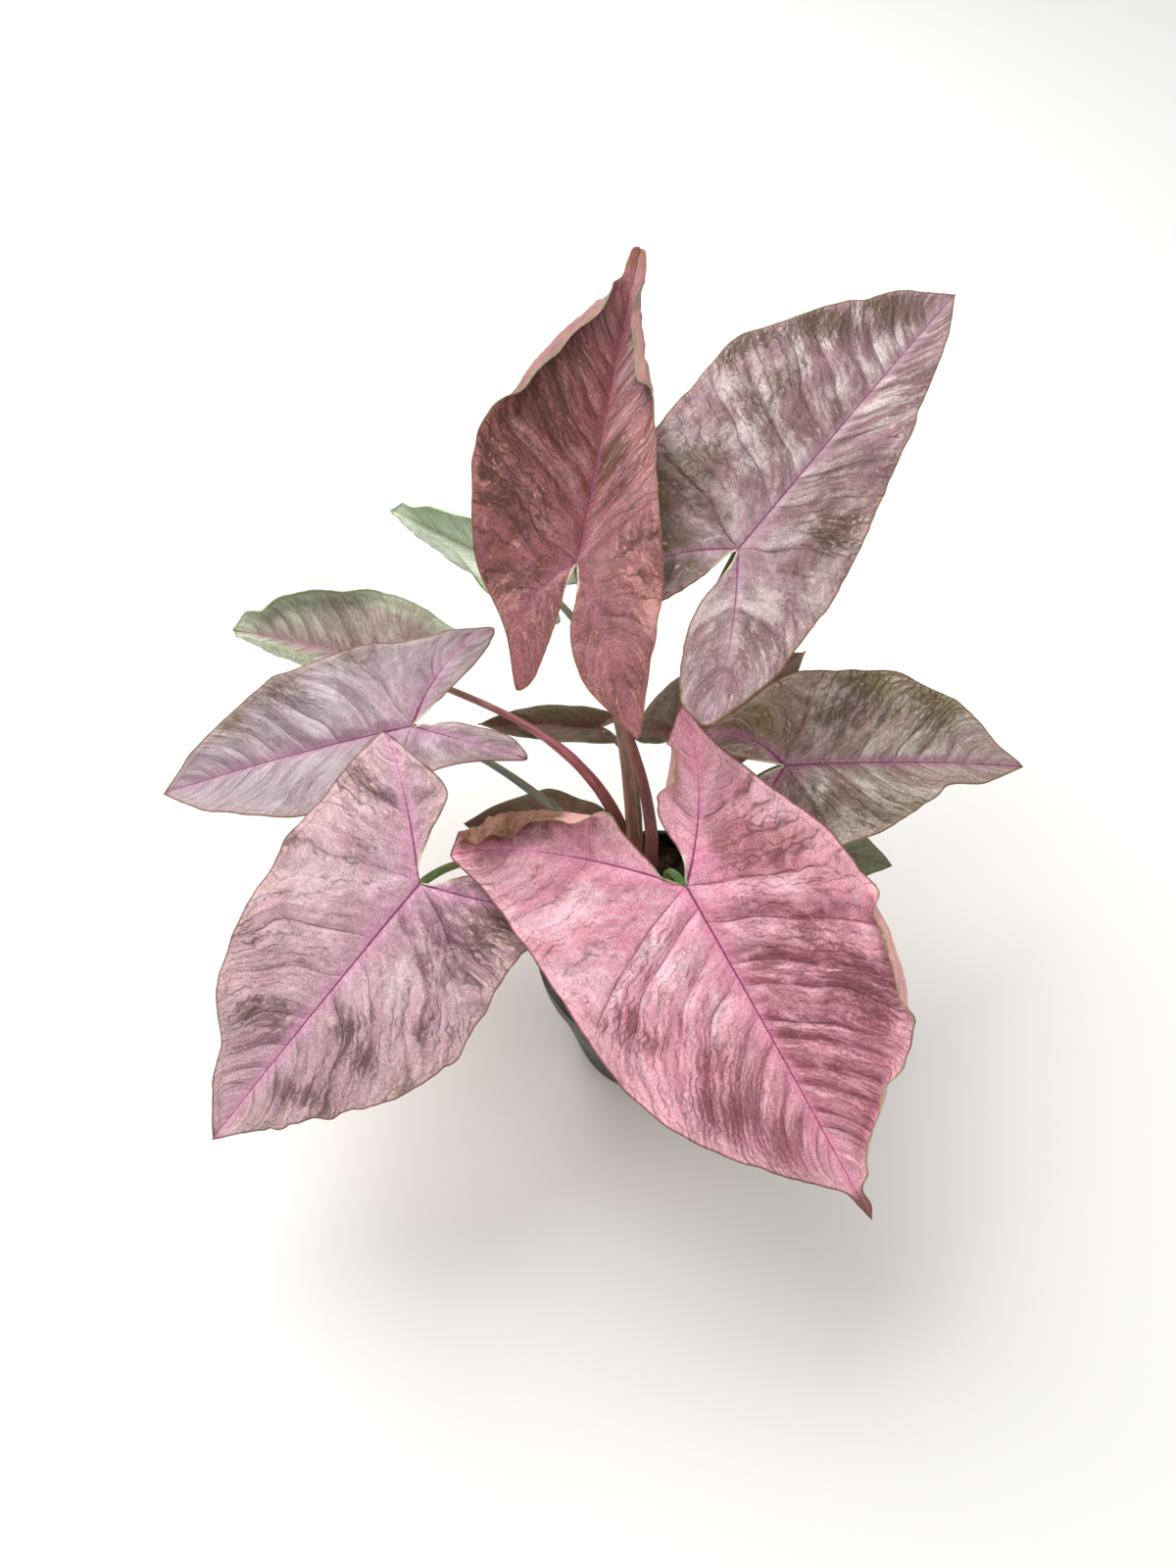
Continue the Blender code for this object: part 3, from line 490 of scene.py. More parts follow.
def bladeSkin(name, look):
    # Living blade, grown: a waxy satin skin over pink cells, with sunken purple veins, silvery patches where
    # air lies under the skin, brown and salmon sport markings, and a fine granular sparkle. The sparkle, a
    # silky sheen, the shade beside each side vein, the highlight on its other side and part of the silver are
    # painted into the colour.
    material, add = newMaterial(name, 0.42, 1.42)
    veins, margin, flat, areas, washes = [add("Attribute", out="Vector", attribute_name=key)
                                          for key in ("veins", "margin", "flat", "areas", "washes")]
    (phase, rib, lane), (edge, strength, tip), (mottled, flecked, silverSheenWeight), (tinted, rolled, shadeAndDarkWeight) = [
        add("SeparateXYZ", [mark]).node.outputs for mark in (veins, margin, areas, washes)]

    # noise fields: along the veins (stretched 1:2, and the silk 1:8), over the flat blade, and the fine grain
    phaseMm = add("Math MULTIPLY", (phase, 9))
    halfApart = add("Math MULTIPLY_ADD", (add("SeparateXYZ", [flat], 2), 40, look["seed"] * 7.3))
    streaky, silky = [add("CombineXYZ", (phaseMm, add("Math MULTIPLY", (rib, share)), halfApart))
                      for share in (0.45, 0.12)]
    patchy, blotchy, splashy, silk, broad, grain = [
        add("TexNoise", {0: place, 2: scale, 3: detail, 4: rough, 8: warp})
        for place, scale, detail, rough, warp in (
            (streaky, 0.17, 5, 0.7, 0), (streaky, 0.28, 5, 0.7, 0.7), (streaky, 0.75, 3, 0.65, 0.8),
            (silky, 0.9, 2, 0.65, 0), (flat, 0.05, 2, 0.5, 0), (flat, 1.5, 2, 0.75, 0))]
    stray = add("TexNoise", {0: flat, 2: 0.2, 3: 1.6, 4: 0.45}, "Color")
    strayA, strayB, strayC = add("SeparateXYZ", [stray]).node.outputs

    # side veins, fainter near the margin and in patches, and some fainter than others
    nearest, between, toVein = veinPlace(add, phase, lane)
    ownDraw = add("TexWhiteNoise 1D", {"W": add("Math ADD", (nearest, halfApart))})
    veinMask = faded(add, add("MapRange SMOOTHSTEP", (toVein, 0.1, 0.5, 1, 0)), (edge, 2, 14, 0.1, 1),
                     (patchy, 0.38, 0.58, 0.35, 1), (ownDraw, 0, 1, 0.4, 1))

    # markings: a noise field passes a threshold that the local weight lowers
    mottleSum = add("Math MULTIPLY_ADD", (mottled, 0.3, add("Mix", {0: 0.38, 2: blotchy, 3: splashy})))
    mottle = add("MapRange SMOOTHSTEP", (mottleSum, 0.6, 0.6 + look["mottleSoft"], 0, look["mottleStrength"]))
    fleckSum = add("Math MULTIPLY_ADD", (flecked, 0.2, splashy))
    fleckSum = add("Math ADD", (fleckSum, add("MapRange", (edge, 3, 14, 0.06, 0))))
    fleck = add("MapRange SMOOTHSTEP", (fleckSum, 0.64, 0.78, 0, 0.7))
    tint = add("MapRange", (add("Math MULTIPLY_ADD", (tinted, 0.7, blotchy)), 0.58, 0.98, 0, 1))
    # painted shade where a blade lies in the shade of another, over the blade's own darker tone; its weight
    # also deepens the painted shade beside the side veins
    shadeAndDarkTone = add("Math MULTIPLY", (add("MapRange", (blotchy, 0.38, 0.58, 0.15, 1)), shadeAndDarkWeight))
    shadeAndDarkTone = add("Math MULTIPLY", (shadeAndDarkTone, look["shadeAndDarkStrength"]))
    # tiny painted glints in the silver colour where the grain peaks on the silvery patches
    specks = add("Math MULTIPLY", (add("MapRange", (grain, 0.7, 0.76, 0, 0.5)), silverSheenWeight))

    # finer veins: families of lines that wind beside the side veins, meet and fork, most where it is mottled
    swayScale = add("MapRange", (lane, 7, 22, 1, 0.35))
    fineMask = None
    for count, sway, winding, low, high, base in ((4, 2.4, strayA, 0.48, 0.64, look["fineBase"]),
                                                  (2.6, 3, strayB, 0.52, 0.68, look["fineBase"] / 2),
                                                  (6, 4.5, strayC, 0.62, 0.8, 0)):
        swayed = add("Math MULTIPLY", (swayScale, sway))
        fine = add("Math MULTIPLY_ADD", (winding, swayed, count * 0.37))
        fine = add("Math PINGPONG", (add("Math MULTIPLY_ADD", (phase, count, fine)), 0.5))
        fine = add("Math MULTIPLY", (fine, lane))
        fine = faded(add, add("MapRange SMOOTHSTEP", (fine, 0.1 * count, 0.75 * count, 1, 0)),
                     (mottleSum, low, high, base, 1))
        fineMask = add("Math MAXIMUM", (fineMask, fine)) if fineMask else fine
    fineMask = faded(add, fineMask, (rib, 3, 18, 0.15, 1))

    # painted shade on the base side of each side vein, a painted highlight (the lift) on its tip side, and
    # silver patches that are partly the leaf's own silvery colour and partly painted sheen
    shade = faded(add, add("MapRange SMOOTHSTEP", (between, -0.5, -0.08, 0, 1)), (between, -0.02, 0.05, 1, 0),
                  (blotchy, 0.36, 0.6, 0.25, 1), (shadeAndDarkWeight, 0, 1, look["shadeStrength"], 1), (edge, 3, 16, 0, 1))
    lift = add("MapRange SMOOTHSTEP", (between, 0.02, 0.12, 0, look["lift"]))
    lift = add("Math MULTIPLY_ADD", (lift, add("MapRange", (between, 0.2, 0.5, 1, 0)), patchy))
    silverAndSheen = add("Math MULTIPLY", (add("MapRange SMOOTHSTEP", (lift, 0.44, 0.64, 0, 1)), silverSheenWeight))

    # ribs with their halo, wider round the stalk, and the margin with its pale band, its line and its edge
    fromStalk = add("VectorMath LENGTH", [flat], "Value")
    heart = add("MapRange SMOOTHSTEP", (fromStalk, 3, 30, look["heart"], 0))
    halo = add("MapRange SMOOTHSTEP", (rib, 0, look["haloWidth"], 0.6, 0))
    halo = add("Math MAXIMUM", (add("Math MULTIPLY", (halo, strength)), heart))
    ribPast = add("Math DIVIDE", (rib, add("Math MULTIPLY", (strength, look["ribWidth"]))))
    ribLine = add("MapRange SMOOTHSTEP", (ribPast, 0.4, 1, 0.9, 0))
    ribSide = add("MapRange", (rib, 1, 3.2, 0.5, 0))
    band = add("MapRange SMOOTHSTEP", (add("Math MULTIPLY_ADD", (strayC, 7, edge)), look["bandWidth"] + 1.5,
                                       look["bandWidth"] + 5.5, look["bandStrength"], 0))
    band = faded(add, band, (splashy, 0.35, 0.6, 0.35, 1))
    innerLine = add("Math COMPARE", (add("Math MULTIPLY_ADD", (strayB, 6, edge)), 6, 0.3))
    innerLine = add("Math MULTIPLY", (innerLine, 0.25))
    edgeLine = add("MapRange SMOOTHSTEP", (edge, 0.35, 0.95, 0.9, 0))
    green = add("Math SUBTRACT", (rolled, tinted), use_clamp=True)
    edgeColour = add("Mix RGBA", {0: green, 6: look["edge"], 7: look["rollEdge"]}, 2)
    nearStalk = add("MapRange", (fromStalk, 9, 16, 1, 0))
    edgeColour = add("Mix RGBA", {0: nearStalk, 6: edgeColour, 7: look["rim"]}, 2)

    fineWeight = add("Math MULTIPLY", (fineMask, look["fineStrength"]))
    veinWeight = add("Math MULTIPLY", (veinMask, look["veinStrength"]))
    layers = [(mask, look[key]) for mask, key in (
        (halo, "halo"), (silverAndSheen, "silverAndSheen"), (tint, "tint"), (shade, "shade"), (shadeAndDarkTone, "shadeAndDarkTone"),
        (mottle, "mottle"), (fleck, "fleck"), (band, "band"), (innerLine, "vein"), (fineWeight, "vein"),
        (veinWeight, "vein"), (ribSide, "halo"), (specks, "silverAndSheen"), (ribLine, "rib"), (tip, "edge"))]
    # a painted sparkle and silky sheen: the fine grain and the silk streaks lighten and darken the colour
    sheenAndTone = faded(add, add("MapRange", (grain, 0.3, 0.7, 1 - look["grain"], 1 + look["grain"])),
                  (silk, 0.3, 0.7, 0.8, 1.2))
    skin = paintedSkin(add, (add("MapRange", (broad, 0.35, 0.65, 0, 1)), look["base"], look["base2"]),
                       layers + [(edgeLine, edgeColour)], sheenAndTone)
    gloss = add("MapRange", (grain, 0.3, 0.7, look["roughness"] - 0.08, look["roughness"] + 0.1))

    # relief too fine for the mesh: hair-fine grooves over the veins and a pebbled grain, in mm
    groove = add("Math MULTIPLY", (fineMask, -0.14))
    for mask, depth in ((veinMask, -0.22), (silk, 0.1), (grain, 0.2)):
        groove = add("Math MULTIPLY_ADD", (mask, depth, groove))
    bump = add("Bump", {"Height": groove, "Distance": mm, "Strength": 0.9})
    return setShader(material, {"Base Color": skin, "Roughness": gloss, "Normal": bump,
                                "Specular IOR Level": 0.45})


def bladeBack(name, look):
    # The blade's underside, grown: matt pale skin with no wax, green along the margin where it rolls over.
    material, add = newMaterial(name, 0.55, 1.4)
    veins, margin, flat, washes = [add("Attribute", out="Vector", attribute_name=key)
                                   for key in ("veins", "margin", "flat", "washes")]
    (phase, rib, lane), (edge, _, _), (tinted, rolled, _) = [
        add("SeparateXYZ", [mark]).node.outputs for mark in (veins, margin, washes)]
    ragged, broad, grain = [add("TexNoise", {0: flat, 2: scale, 3: detail})
                            for scale, detail in ((0.35, 3), (0.12, 3), (1.8, 2))]
    besideVeins = add("VectorMath MULTIPLY", (veins, (9, 0.35, 0)))
    besideEdge = add("VectorMath MULTIPLY", (add("CombineXYZ", (phase, edge)), (2.4, 2.2, 0)))
    streaky = add("Mix VECTOR", {0: rolled, 4: besideVeins, 5: besideEdge}, 1)
    streaks = add("TexNoise", {0: streaky, 2: 0.55, 3: 4, 4: 0.7, 8: 0.6})
    roughEdge = add("Math MULTIPLY_ADD", (ragged, -5, edge))
    greenWidth = look["backEdgeWidth"]
    greenBand = faded(add, add("MapRange", (roughEdge, greenWidth - 3.1, greenWidth - 2.5, 1, 0)),
                      (broad, 0.42, 0.54, 0.1, 1))
    toVein = veinPlace(add, phase, lane)[2]
    veinLine = faded(add, add("MapRange", (toVein, 0.2, 0.9, 0.7, 0)), (rolled, 0, 1, 1, 0.15))
    ribLine = add("MapRange", (rib, 0.7, 1.6, 0.9, 0))
    tint = add("MapRange", (add("Math MULTIPLY_ADD", (tinted, ragged, tinted)), 0.35, 0.9, 0, 0.92))
    tint = add("Math MULTIPLY", (tint, rolled))
    # darker patches in the brown rolled strips: painted shade of their wrinkles over the strip's own darker
    # brown
    crease = add("MapRange", (add("TexNoise", {0: flat, 2: 0.45, 3: 4, 8: 1.5}), 0.42, 0.6, 0, 0.85))
    crease = add("Math MULTIPLY", (crease, tint))
    sheenAndTone = faded(add, add("MapRange", (grain, 0.3, 0.7, 0.9, 1.1)), (streaks, 0.3, 0.7, 0.72, 1.22))
    layers = [(mask, look[key]) for mask, key in (
        (veinLine, "backVein"), (ribLine, "backVein"), (greenBand, "rollEdge"), (tint, "tint"),
        (crease, "crease"))]
    skin = paintedSkin(add, (broad, look["back"], look["back2"]), layers, sheenAndTone)
    bump = add("Bump", {"Height": sheenAndTone, "Distance": 0.2 * mm, "Strength": 0.6})
    return setShader(material, {"Base Color": skin, "Normal": bump})


# what a blade's material reads at each corner of its mesh, three values to a mark
bladeMarks = dict(veins=("phase", "rib", "lane"), margin=("edge", "strength", "tip"), flat=("x", "y", "half"),
                  areas=("mottle", "fleck", "silverAndSheen"), washes=("tint", "roll", "shadeAndDarkTone"))


def makeBlade(leaf):
    grids = []
    for number, sheet in enumerate(bladeSheets(leaf)):
        sheet["half"] = np.full(sheet["x"].shape, float(sheet["sign"]))
        sheet["tip"] = smoothstep((sheet["y"] - leaf["length"] + leaf["tipBrown"] + 3) / 6) * 0.85
        for key in ("mottle", "fleck", "silverAndSheen", "tint", "shadeAndDarkTone"):
            sheet[key] = areaWeights(leaf, sheet, key)
        marks = {key: np.stack([sheet[part] for part in parts], -1) for key, parts in bladeMarks.items()}
        grids.append(fillGrid(f"{leaf['node']}_sheet{number}", sheet["points"], marks))
    blade = joinPieces(grids, leaf["node"].replace("leaf", "blade"))
    areas = np.array([face.area * face.normal.z for face in blade.data.polygons])
    if areas.sum() < 0:
        blade.data.flip_normals()
    blade.data.transform(placement(leaf))
    blade.data.materials.append(bladeSkin(leaf["node"] + " skin, waxy satin", leaf["look"]))
    blade.data.materials.append(bladeBack(leaf["node"] + " underside, matt", leaf["look"]))
    solid = blade.modifiers.new("thickness", "SOLIDIFY")
    solid.thickness = bladeShape["thickness"] * mm
    solid.offset = -1
    solid.material_offset = 1
    solid.material_offset_rim = 0
    bpy.ops.object.modifier_apply(modifier=solid.name)
    bpy.ops.object.shade_smooth_by_angle(angle=math.radians(bladeShape["smoothAngle"]))
    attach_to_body(blade, "root")
    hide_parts(leaf["node"])
    print("blade", leaf["node"], "faces", len(blade.data.polygons))


def evenVeins(length, start, end):
    # places of the side veins along the midrib, their spacing shrinking from start to end
    places = [0]
    while places[-1] < length - 2:
        places.append(places[-1] + start + (end - start) * places[-1] / length)
    return places


# Colours of each kind of blade, and how strongly each of its markings shows. Widths are in mm. Some are
# painted
# light: the shade beside each side vein with the lift highlight on its other side, the broad darkening where
# a blade lies in shade, the sheen in the silver and the darker wrinkles of the rolled strips.
roseLook = dict(seed=1, grain=0.32, base="#e8a8b5", base2="#db94a5", silverAndSheen="#f4cfda", tint="#7c5037",
                halo="#e993b2", heart=0.7, lift=0.07, shade="#97475f", shadeStrength=0.35, shadeAndDarkTone="#9c5460",
                shadeAndDarkStrength=0.75, mottle="#9c5b55", mottleStrength=0.62, mottleSoft=0.2, fineBase=0.18,
                fleck="#f0bbb4", band="#f4b8c1", bandStrength=0.75, bandWidth=4, vein="#6b3848",
                crease="#54331f", rib="#7a3354", edge="#744636", rim="#d3cdb4", rollEdge="#8a8f58",
                fineStrength=0.65, veinStrength=0.85, haloWidth=12, ribWidth=0.7, roughness=0.42,
                back="#dfa9a4", back2="#d39a96", backVein="#b9747a", backEdgeWidth=1.0)
mauveLook = dict(roseLook, seed=2, base="#d1a9b2", base2="#c498a2", silverAndSheen="#e4cfd2", tint="#8c7562",
                 halo="#d999b8", fineBase=0.12, heart=0.65, lift=0.02, shade="#7d5062", shadeStrength=0.12,
                 shadeAndDarkTone="#714c55", mottle="#6c4c44", mottleStrength=0.72, fleck="#e3c0b6", band="#cfb0aa",
                 bandWidth=3, bandStrength=0.55, vein="#523848", crease="#523848", rib="#75355a",
                 edge="#7d5a48", haloWidth=9)
paleLook = dict(mauveLook, seed=8, grain=0.2, base="#b3a0a7", base2="#a8949a", silverAndSheen="#cbc0c3",
                halo="#c08fa9", band="#b9a299", tint="#84725e", fleck="#cdb1a8", lift=0.0,
                fineStrength=0.35)
duskLook = dict(roseLook, seed=3, grain=0.42, base="#a5676d", base2="#925656", silverAndSheen="#bb8f94",
                tint="#63402a", halo="#a5666e", heart=0.4, shade="#5f312c", shadeStrength=0.5,
                shadeAndDarkTone="#6b3d34", mottle="#5c3724", mottleStrength=0.62, fineBase=0.4, fleck="#c98d83",
                band="#a96b62", bandStrength=0.4, bandWidth=1, vein="#56302a", crease="#56302a",
                rib="#94566a", edge="#8a5a44", rollEdge="#7d8460", fineStrength=0.85, ribWidth=0.9,
                back="#b3857f", back2="#9a6c66", backVein="#9a6462", backEdgeWidth=1.2, haloWidth=5)
oliveLook = dict(roseLook, seed=4, base="#a37e84", base2="#927076", silverAndSheen="#d6c5c3", tint="#6f5c40",
                 halo="#b08a98", heart=0.55, shade="#64494a", shadeStrength=0.35, shadeAndDarkTone="#664d43",
                 mottle="#6b573e", mottleStrength=0.72, mottleSoft=0.14, fineBase=0.2, fleck="#dbbfb7",
                 band="#a98e7e", bandStrength=0.55, bandWidth=2, vein="#4a3038", crease="#4a3038",
                 rib="#7c3c60", edge="#7a5a40", back="#c9a39f", back2="#b8928f", haloWidth=5)
mossLook = dict(oliveLook, seed=7, grain=0.36, base="#b79c9a", base2="#a89088", silverAndSheen="#d3cfc4",
                tint="#85774f", shadeAndDarkTone="#6f5a4e", halo="#a8708c", shadeStrength=0.25, mottleStrength=0.5,
                mottleSoft=0.2, fleck="#d3c1ac", band="#a8987c", vein="#4c3432", crease="#4c3432",
                rib="#7f3a62", mottle="#5f4c38")
mintLook = dict(roseLook, seed=5, grain=0.2, base="#bdaea5", base2="#ad9b93", silverAndSheen="#c9d1bb",
                tint="#d2dfc2", halo="#b78d98", heart=0.3, shade="#8c7468", shadeAndDarkTone="#6f5850",
                mottle="#80705c", fleck="#cdd8be", band="#c3d2b2", bandWidth=7, vein="#7d6b60",
                crease="#a3b48e", rib="#8d6470", edge="#8aa078", rollEdge="#a9c294", back="#d3dfc8",
                back2="#c4d5b8", backVein="#a3bc94", fineStrength=0.25)
youngLook = dict(mintLook, seed=9, base="#f2f8ea", base2="#e6f0dc", silverAndSheen="#f6faf0", halo="#d0ccbe",
                 heart=0.2, shade="#a9b79e", crease="#cdd9c0", shadeStrength=0.15, shadeAndDarkTone="#aab697",
                 tint="#dfead4", vein="#a3b398", rib="#b9c7aa", back="#eef5e6", back2="#e2ecd8",
                 mottle="#b3bfa4")
greenLook = dict(roseLook, seed=6, base="#7b8560", base2="#66714e", silverAndSheen="#8b9776", tint="#6a5a44",
                 halo="#6a6450", heart=0.3, shade="#3c4630", shadeAndDarkTone="#3c3c2c", mottle="#4a4634",
                 fleck="#86865f", band="#747c58", vein="#3e4a34", crease="#3e4a34", rib="#57604a",
                 edge="#6a6a4c", rollEdge="#7c8a5c", rim="#7c7a58", back="#75805e", back2="#68745a",
                 backVein="#5c684e", fineStrength=0.4)
shadowLook = dict(greenLook, seed=10, base="#6a614c", base2="#55573f", silverAndSheen="#7e7a62", tint="#7a4a3a",
                  halo="#6f4644", mottle="#3f3a28", fleck="#7c6a50", band="#6a5a40", vein="#3a3022",
                  crease="#3a3022", rib="#6a4a44")
maroonLook = dict(shadowLook, seed=11, base="#754c42", base2="#664c38", tint="#6b6a44", halo="#74444a")
common = dict(bow=12, lobeBow=18, lobeVeins=3, groove=0.9, quilt=1.3, wave=1.2, crinkle=0.8, wander=0.17,
              pace=1.0, tipBrown=3, tipRound=5, tipEase=0)

frontRight = dict(
    common, node="leaf_front_right", slot="blade_rose", shoot="stem_front", seed=100, look=roseLook,
    tipBrown=11, tipRound=3, attach=(5, -18, 159), heading=-58, pitch=-23, tilt=10, length=136, bend=8,
    ripple=(1.5, 5, 0.1), lobeRows=90,
    right=dict(
        lobe=(71, -53),
        outer=[(65, -32), (62, -8), (60, 16), (58, 40), (51, 66), (34, 91), (14, 113), (4.5, 122),
               (1.6, 130)],
        sinus=[(60, -59), (44, -58), (28, -51), (15, -39), (8, -17), (6, -6)], fold=10, arch=18, lobeFold=6,
        droop=6, bow=30, puff=0.7, notchRoll=[(-0.02, 0.74, 165)],
        notchFlap=dict(width=17, limit=0.8, wider=8.5),
        veins=[0, 9, 24, 37, 53, 64, 78, 88, 98, 106, 115, 121, 128, 132, 136]),
    left=dict(
        lobe=(33, -61),
        outer=[(37, -38), (47, -14), (56, 8), (60, 30), (60, 54), (49, 80), (30, 100), (11, 116),
               (2.8, 124), (2.6, 131)],
        sinus=[(24, -53), (14, -43), (4, -28), (4, -11)], fold=8, arch=6, lobeFold=6, droop=4,
        roll=[(0.42, 0.70, 160), (0.71, 0.96, 150)], frill=0.9, notchRoll=[(0.2, 0.55, 140)],
        veins=[0, 15, 32, 41, 55, 62, 74, 81, 92, 98, 108, 113, 121, 126, 132, 136]),
    stalk=("#6b4a34", "#8a5a4c", "#6f6a3c", "#4b6b2a", "#3c6a22"),
    areas=dict(
        mottle=[0.15, (1, 39, 43, 7, 0.6), (1, 23, 58, 8, 0.75), (1, 5, 41, 5, 0.4), (1, 23, 78, 8, 0.8),
                (1, 42, 32, 6, 0.6), (1, 52, 25, 7, 0.5), (1, 4, 91, 7, 0.5), (-1, 27, -3, 10, 1.0),
                (-1, 42, 2, 7, 0.8), (-1, 35, 11, 8, 0.6), (-1, 32, 39, 8, 0.7), (-1, 12, 35, 7, 0.4),
                (-1, 36, 57, 9, 0.8), (-1, 7, 64, 6, 0.5), (-1, 39, 70, 7, 0.9), (-1, 21, -11, 8, 0.6),
                (1, 34, 70, 7, 0.6), (1, 16, 97, 7, 0.7), (1, 13, 72, 6, 0.6), (-1, 34, -22, 7, 0.6),
                (1, 58, -55, 9, 1.0), (1, 42, -56, 9, 1.0), (1, 28, -50, 7, 1.0)],
        fleck=[0.1, (1, 15, 65, 14, 0.5), (1, 30, 20, 14, 0.3)],
        silverAndSheen=[0.35, (-1, 41, 0, 14, 0.5), (1, 20, 20, 12, 0.5), (1, 16, 45, 10, 0.4),
                (-1, 25, 45, 22, 0.25), (1, 30, -10, 22, 0.5), (1, 48, 10, 14, 0.4)],
        tint=[0, (1, 64, -62, 16, 1.0), (1, 50, -67, 15, 1.0), (1, 38, -64, 14, 1.0), (1, 26, -56, 11, 0.8)],
        shadeAndDarkTone=[0.1, (-1, 14, 48, 24, 0.9), (-1, 14, 80, 26, 1.0), (-1, 30, 62, 18, 0.7),
              (1, 8, 100, 18, 0.6), (-1, 32, 28, 20, 0.6), (1, 28, 82, 12, 0.6), (1, 10, 62, 9, 0.5)],
        crumple=[0, (1, 60, -58, 10, 1.0), (1, 46, -60, 10, 1.0), (1, 34, -56, 8, 0.9)]))

frontLeft = dict(
    common, node="leaf_front_left", slot="blade_mauve", shoot="stem_front", seed=200, look=mauveLook,
    attach=(-94, -12, 151), heading=-135, pitch=-25, tilt=-13, length=126, bend=8, ripple=(1.5, 5, 0.5),
    lobeRows=62,
    right=dict(
        lobe=(52, -35), outer=[(52, -10), (51, 20), (47, 46), (38, 76), (22, 94), (11, 111)],
        sinus=[(36, -35), (15, -33), (9, -17), (4, -3)], fold=10, arch=18, lobeFold=6, droop=6, puff=0.45,
        veins=[0, 27, 45, 66, 79, 90, 101, 110, 119, 126]),
    left=dict(
        lobe=(47, -30), outer=[(47, -8), (49, 14), (53, 38), (49, 58), (33, 84), (14, 108)],
        sinus=[(32, -28), (16, -18), (5, -4)], fold=10, arch=22, lobeFold=6, droop=6, bow=24, puff=0.7,
        frill=1.1, veins=[0, 13, 36, 52, 74, 86, 100, 109, 118, 126]),
    stalk=("#6b4a34", "#8a6a54", "#7a7a54", "#4b6b2a"),
    areas=dict(
        mottle=[0.1, (1, 8, 74, 7, 0.7), (-1, 14, 56, 6, 0.9), (-1, 36, 40, 6, 0.8), (-1, 10, 92, 7, 0.8),
                (-1, 20, 86, 6, 0.7), (-1, 26, 63, 6, 0.8), (1, 21, 78, 8, 0.7), (-1, 41, 14, 6, 0.7),
                (-1, 32, -2, 8, 0.8), (-1, 46, 32, 5, 0.6), (1, 15, 50, 5, 0.3), (1, 42, -16, 14, 0.5),
                (-1, 34, -16, 14, 0.8), (-1, 20, -10, 9, 0.5), (1, 46, 20, 8, 0.4), (1, 40, 55, 8, 0.5)],
        fleck=[0.2, (1, 48, -10, 20, 0.6), (-1, 40, 50, 16, 0.6), (-1, 10, 105, 16, 0.6),
               (1, 48, 30, 16, 0.5), (1, 36, 70, 14, 0.5), (-1, 36, 0, 14, 0.6)],
        silverAndSheen=[0.35, (1, 30, 20, 30, 0.2), (-1, 20, 25, 16, 0.3)],
        tint=[0, (-1, 47, 62, 8, 0.6), (-1, 30, 90, 8, 0.6), (1, 50, 20, 8, 0.4)],
        shadeAndDarkTone=[0.08, (-1, 24, 0, 22, 0.9), (-1, 38, 10, 14, 0.5), (-1, 14, 62, 14, 0.5),
              (-1, 16, 88, 12, 0.3), (1, 12, 80, 14, 0.5), (1, 30, -20, 22, 0.6), (-1, 34, -14, 22, 1.0),
              (-1, 20, -12, 14, 0.7)],
        crumple=[0, (-1, 52, 50, 8, 0.4), (-1, 40, 80, 8, 0.4)]))

backCentre = dict(
    common, node="leaf_back_centre", slot="blade_dusk", shoot="stem_back_left", seed=300, look=duskLook,
    attach=(-35, 79, 227), heading=80, pitch=15, tilt=5, swing=(20, 0), length=153, bend=4,
    ripple=(1.5, 5, 0.2), lobeRows=70, veins=evenVeins(153, 17, 7), tipEase=0.75, tipBrown=12,
    right=dict(
        lobe=(34, -63),
        outer=[(33, -40), (33, -16), (31, 14), (25, 38), (22, 68), (15, 98), (6.2, 129), (4.2, 142),
               (2.8, 151)],
        sinus=[(24, -56), (11, -46), (3, -31), (2, -12)], fold=30, arch=8, lobeFold=10, droop=20,
        roll=[(0.50, 0.92, 158)], rollEase=2),
    left=dict(
        lobe=(13, -53),
        outer=[(21, -31), (36, -9), (44, 10), (48, 32), (43, 52), (35, 80), (20, 110), (6.2, 131),
               (4.2, 143), (2.8, 151)],
        sinus=[(8, -48), (5, -36), (3, -22), (2, -10)], fold=30, arch=8, lobeFold=10, droop=20,
        roll=[(0.37, 0.92, 158)], rollEase=2.4),
    stalk=("#5a3430", "#84504e", "#8f5a52", "#8a7a58", "#8fa37a"),
    areas=dict(
        mottle=[0.18, (-1, 24, 59, 10, 0.6), (-1, 36, 25, 10, 0.6), (-1, 35, 11, 10, 0.6),
                (-1, 23, 11, 9, 0.4), (1, 6, 42, 8, 1.0), (-1, 13, -5, 6, 0.6), (-1, 15, 46, 9, 0.6),
                (-1, 39, 32, 9, 0.6), (-1, 22, 80, 12, 0.4), (-1, 14, -31, 8, 0.6), (1, 12, -22, 9, 0.5),
                (1, 26, -44, 9, 0.5), (1, 26, 4, 8, 0.5), (-1, 20, -14, 8, 0.5)],
        fleck=[0.12, (1, 16, 46, 16, 0.6), (1, 28, 6, 14, 0.7), (1, 27, -14, 12, 0.6), (1, 8, 70, 16, 0.5),
               (-1, 38, 20, 14, 0.5), (-1, 14, -20, 16, 0.4)],
        silverAndSheen=[0.25, (1, 18, 0, 16, 0.4), (-1, 6, 30, 12, 0.4), (1, 12, 84, 24, 0.7)],
        tint=[0.1, (1, 8, 46, 8, 0.8), (-1, 30, 55, 14, 0.4)],
        shadeAndDarkTone=[0.35, (-1, 24, 70, 26, 0.5), (-1, 20, -10, 16, 0.4)]))

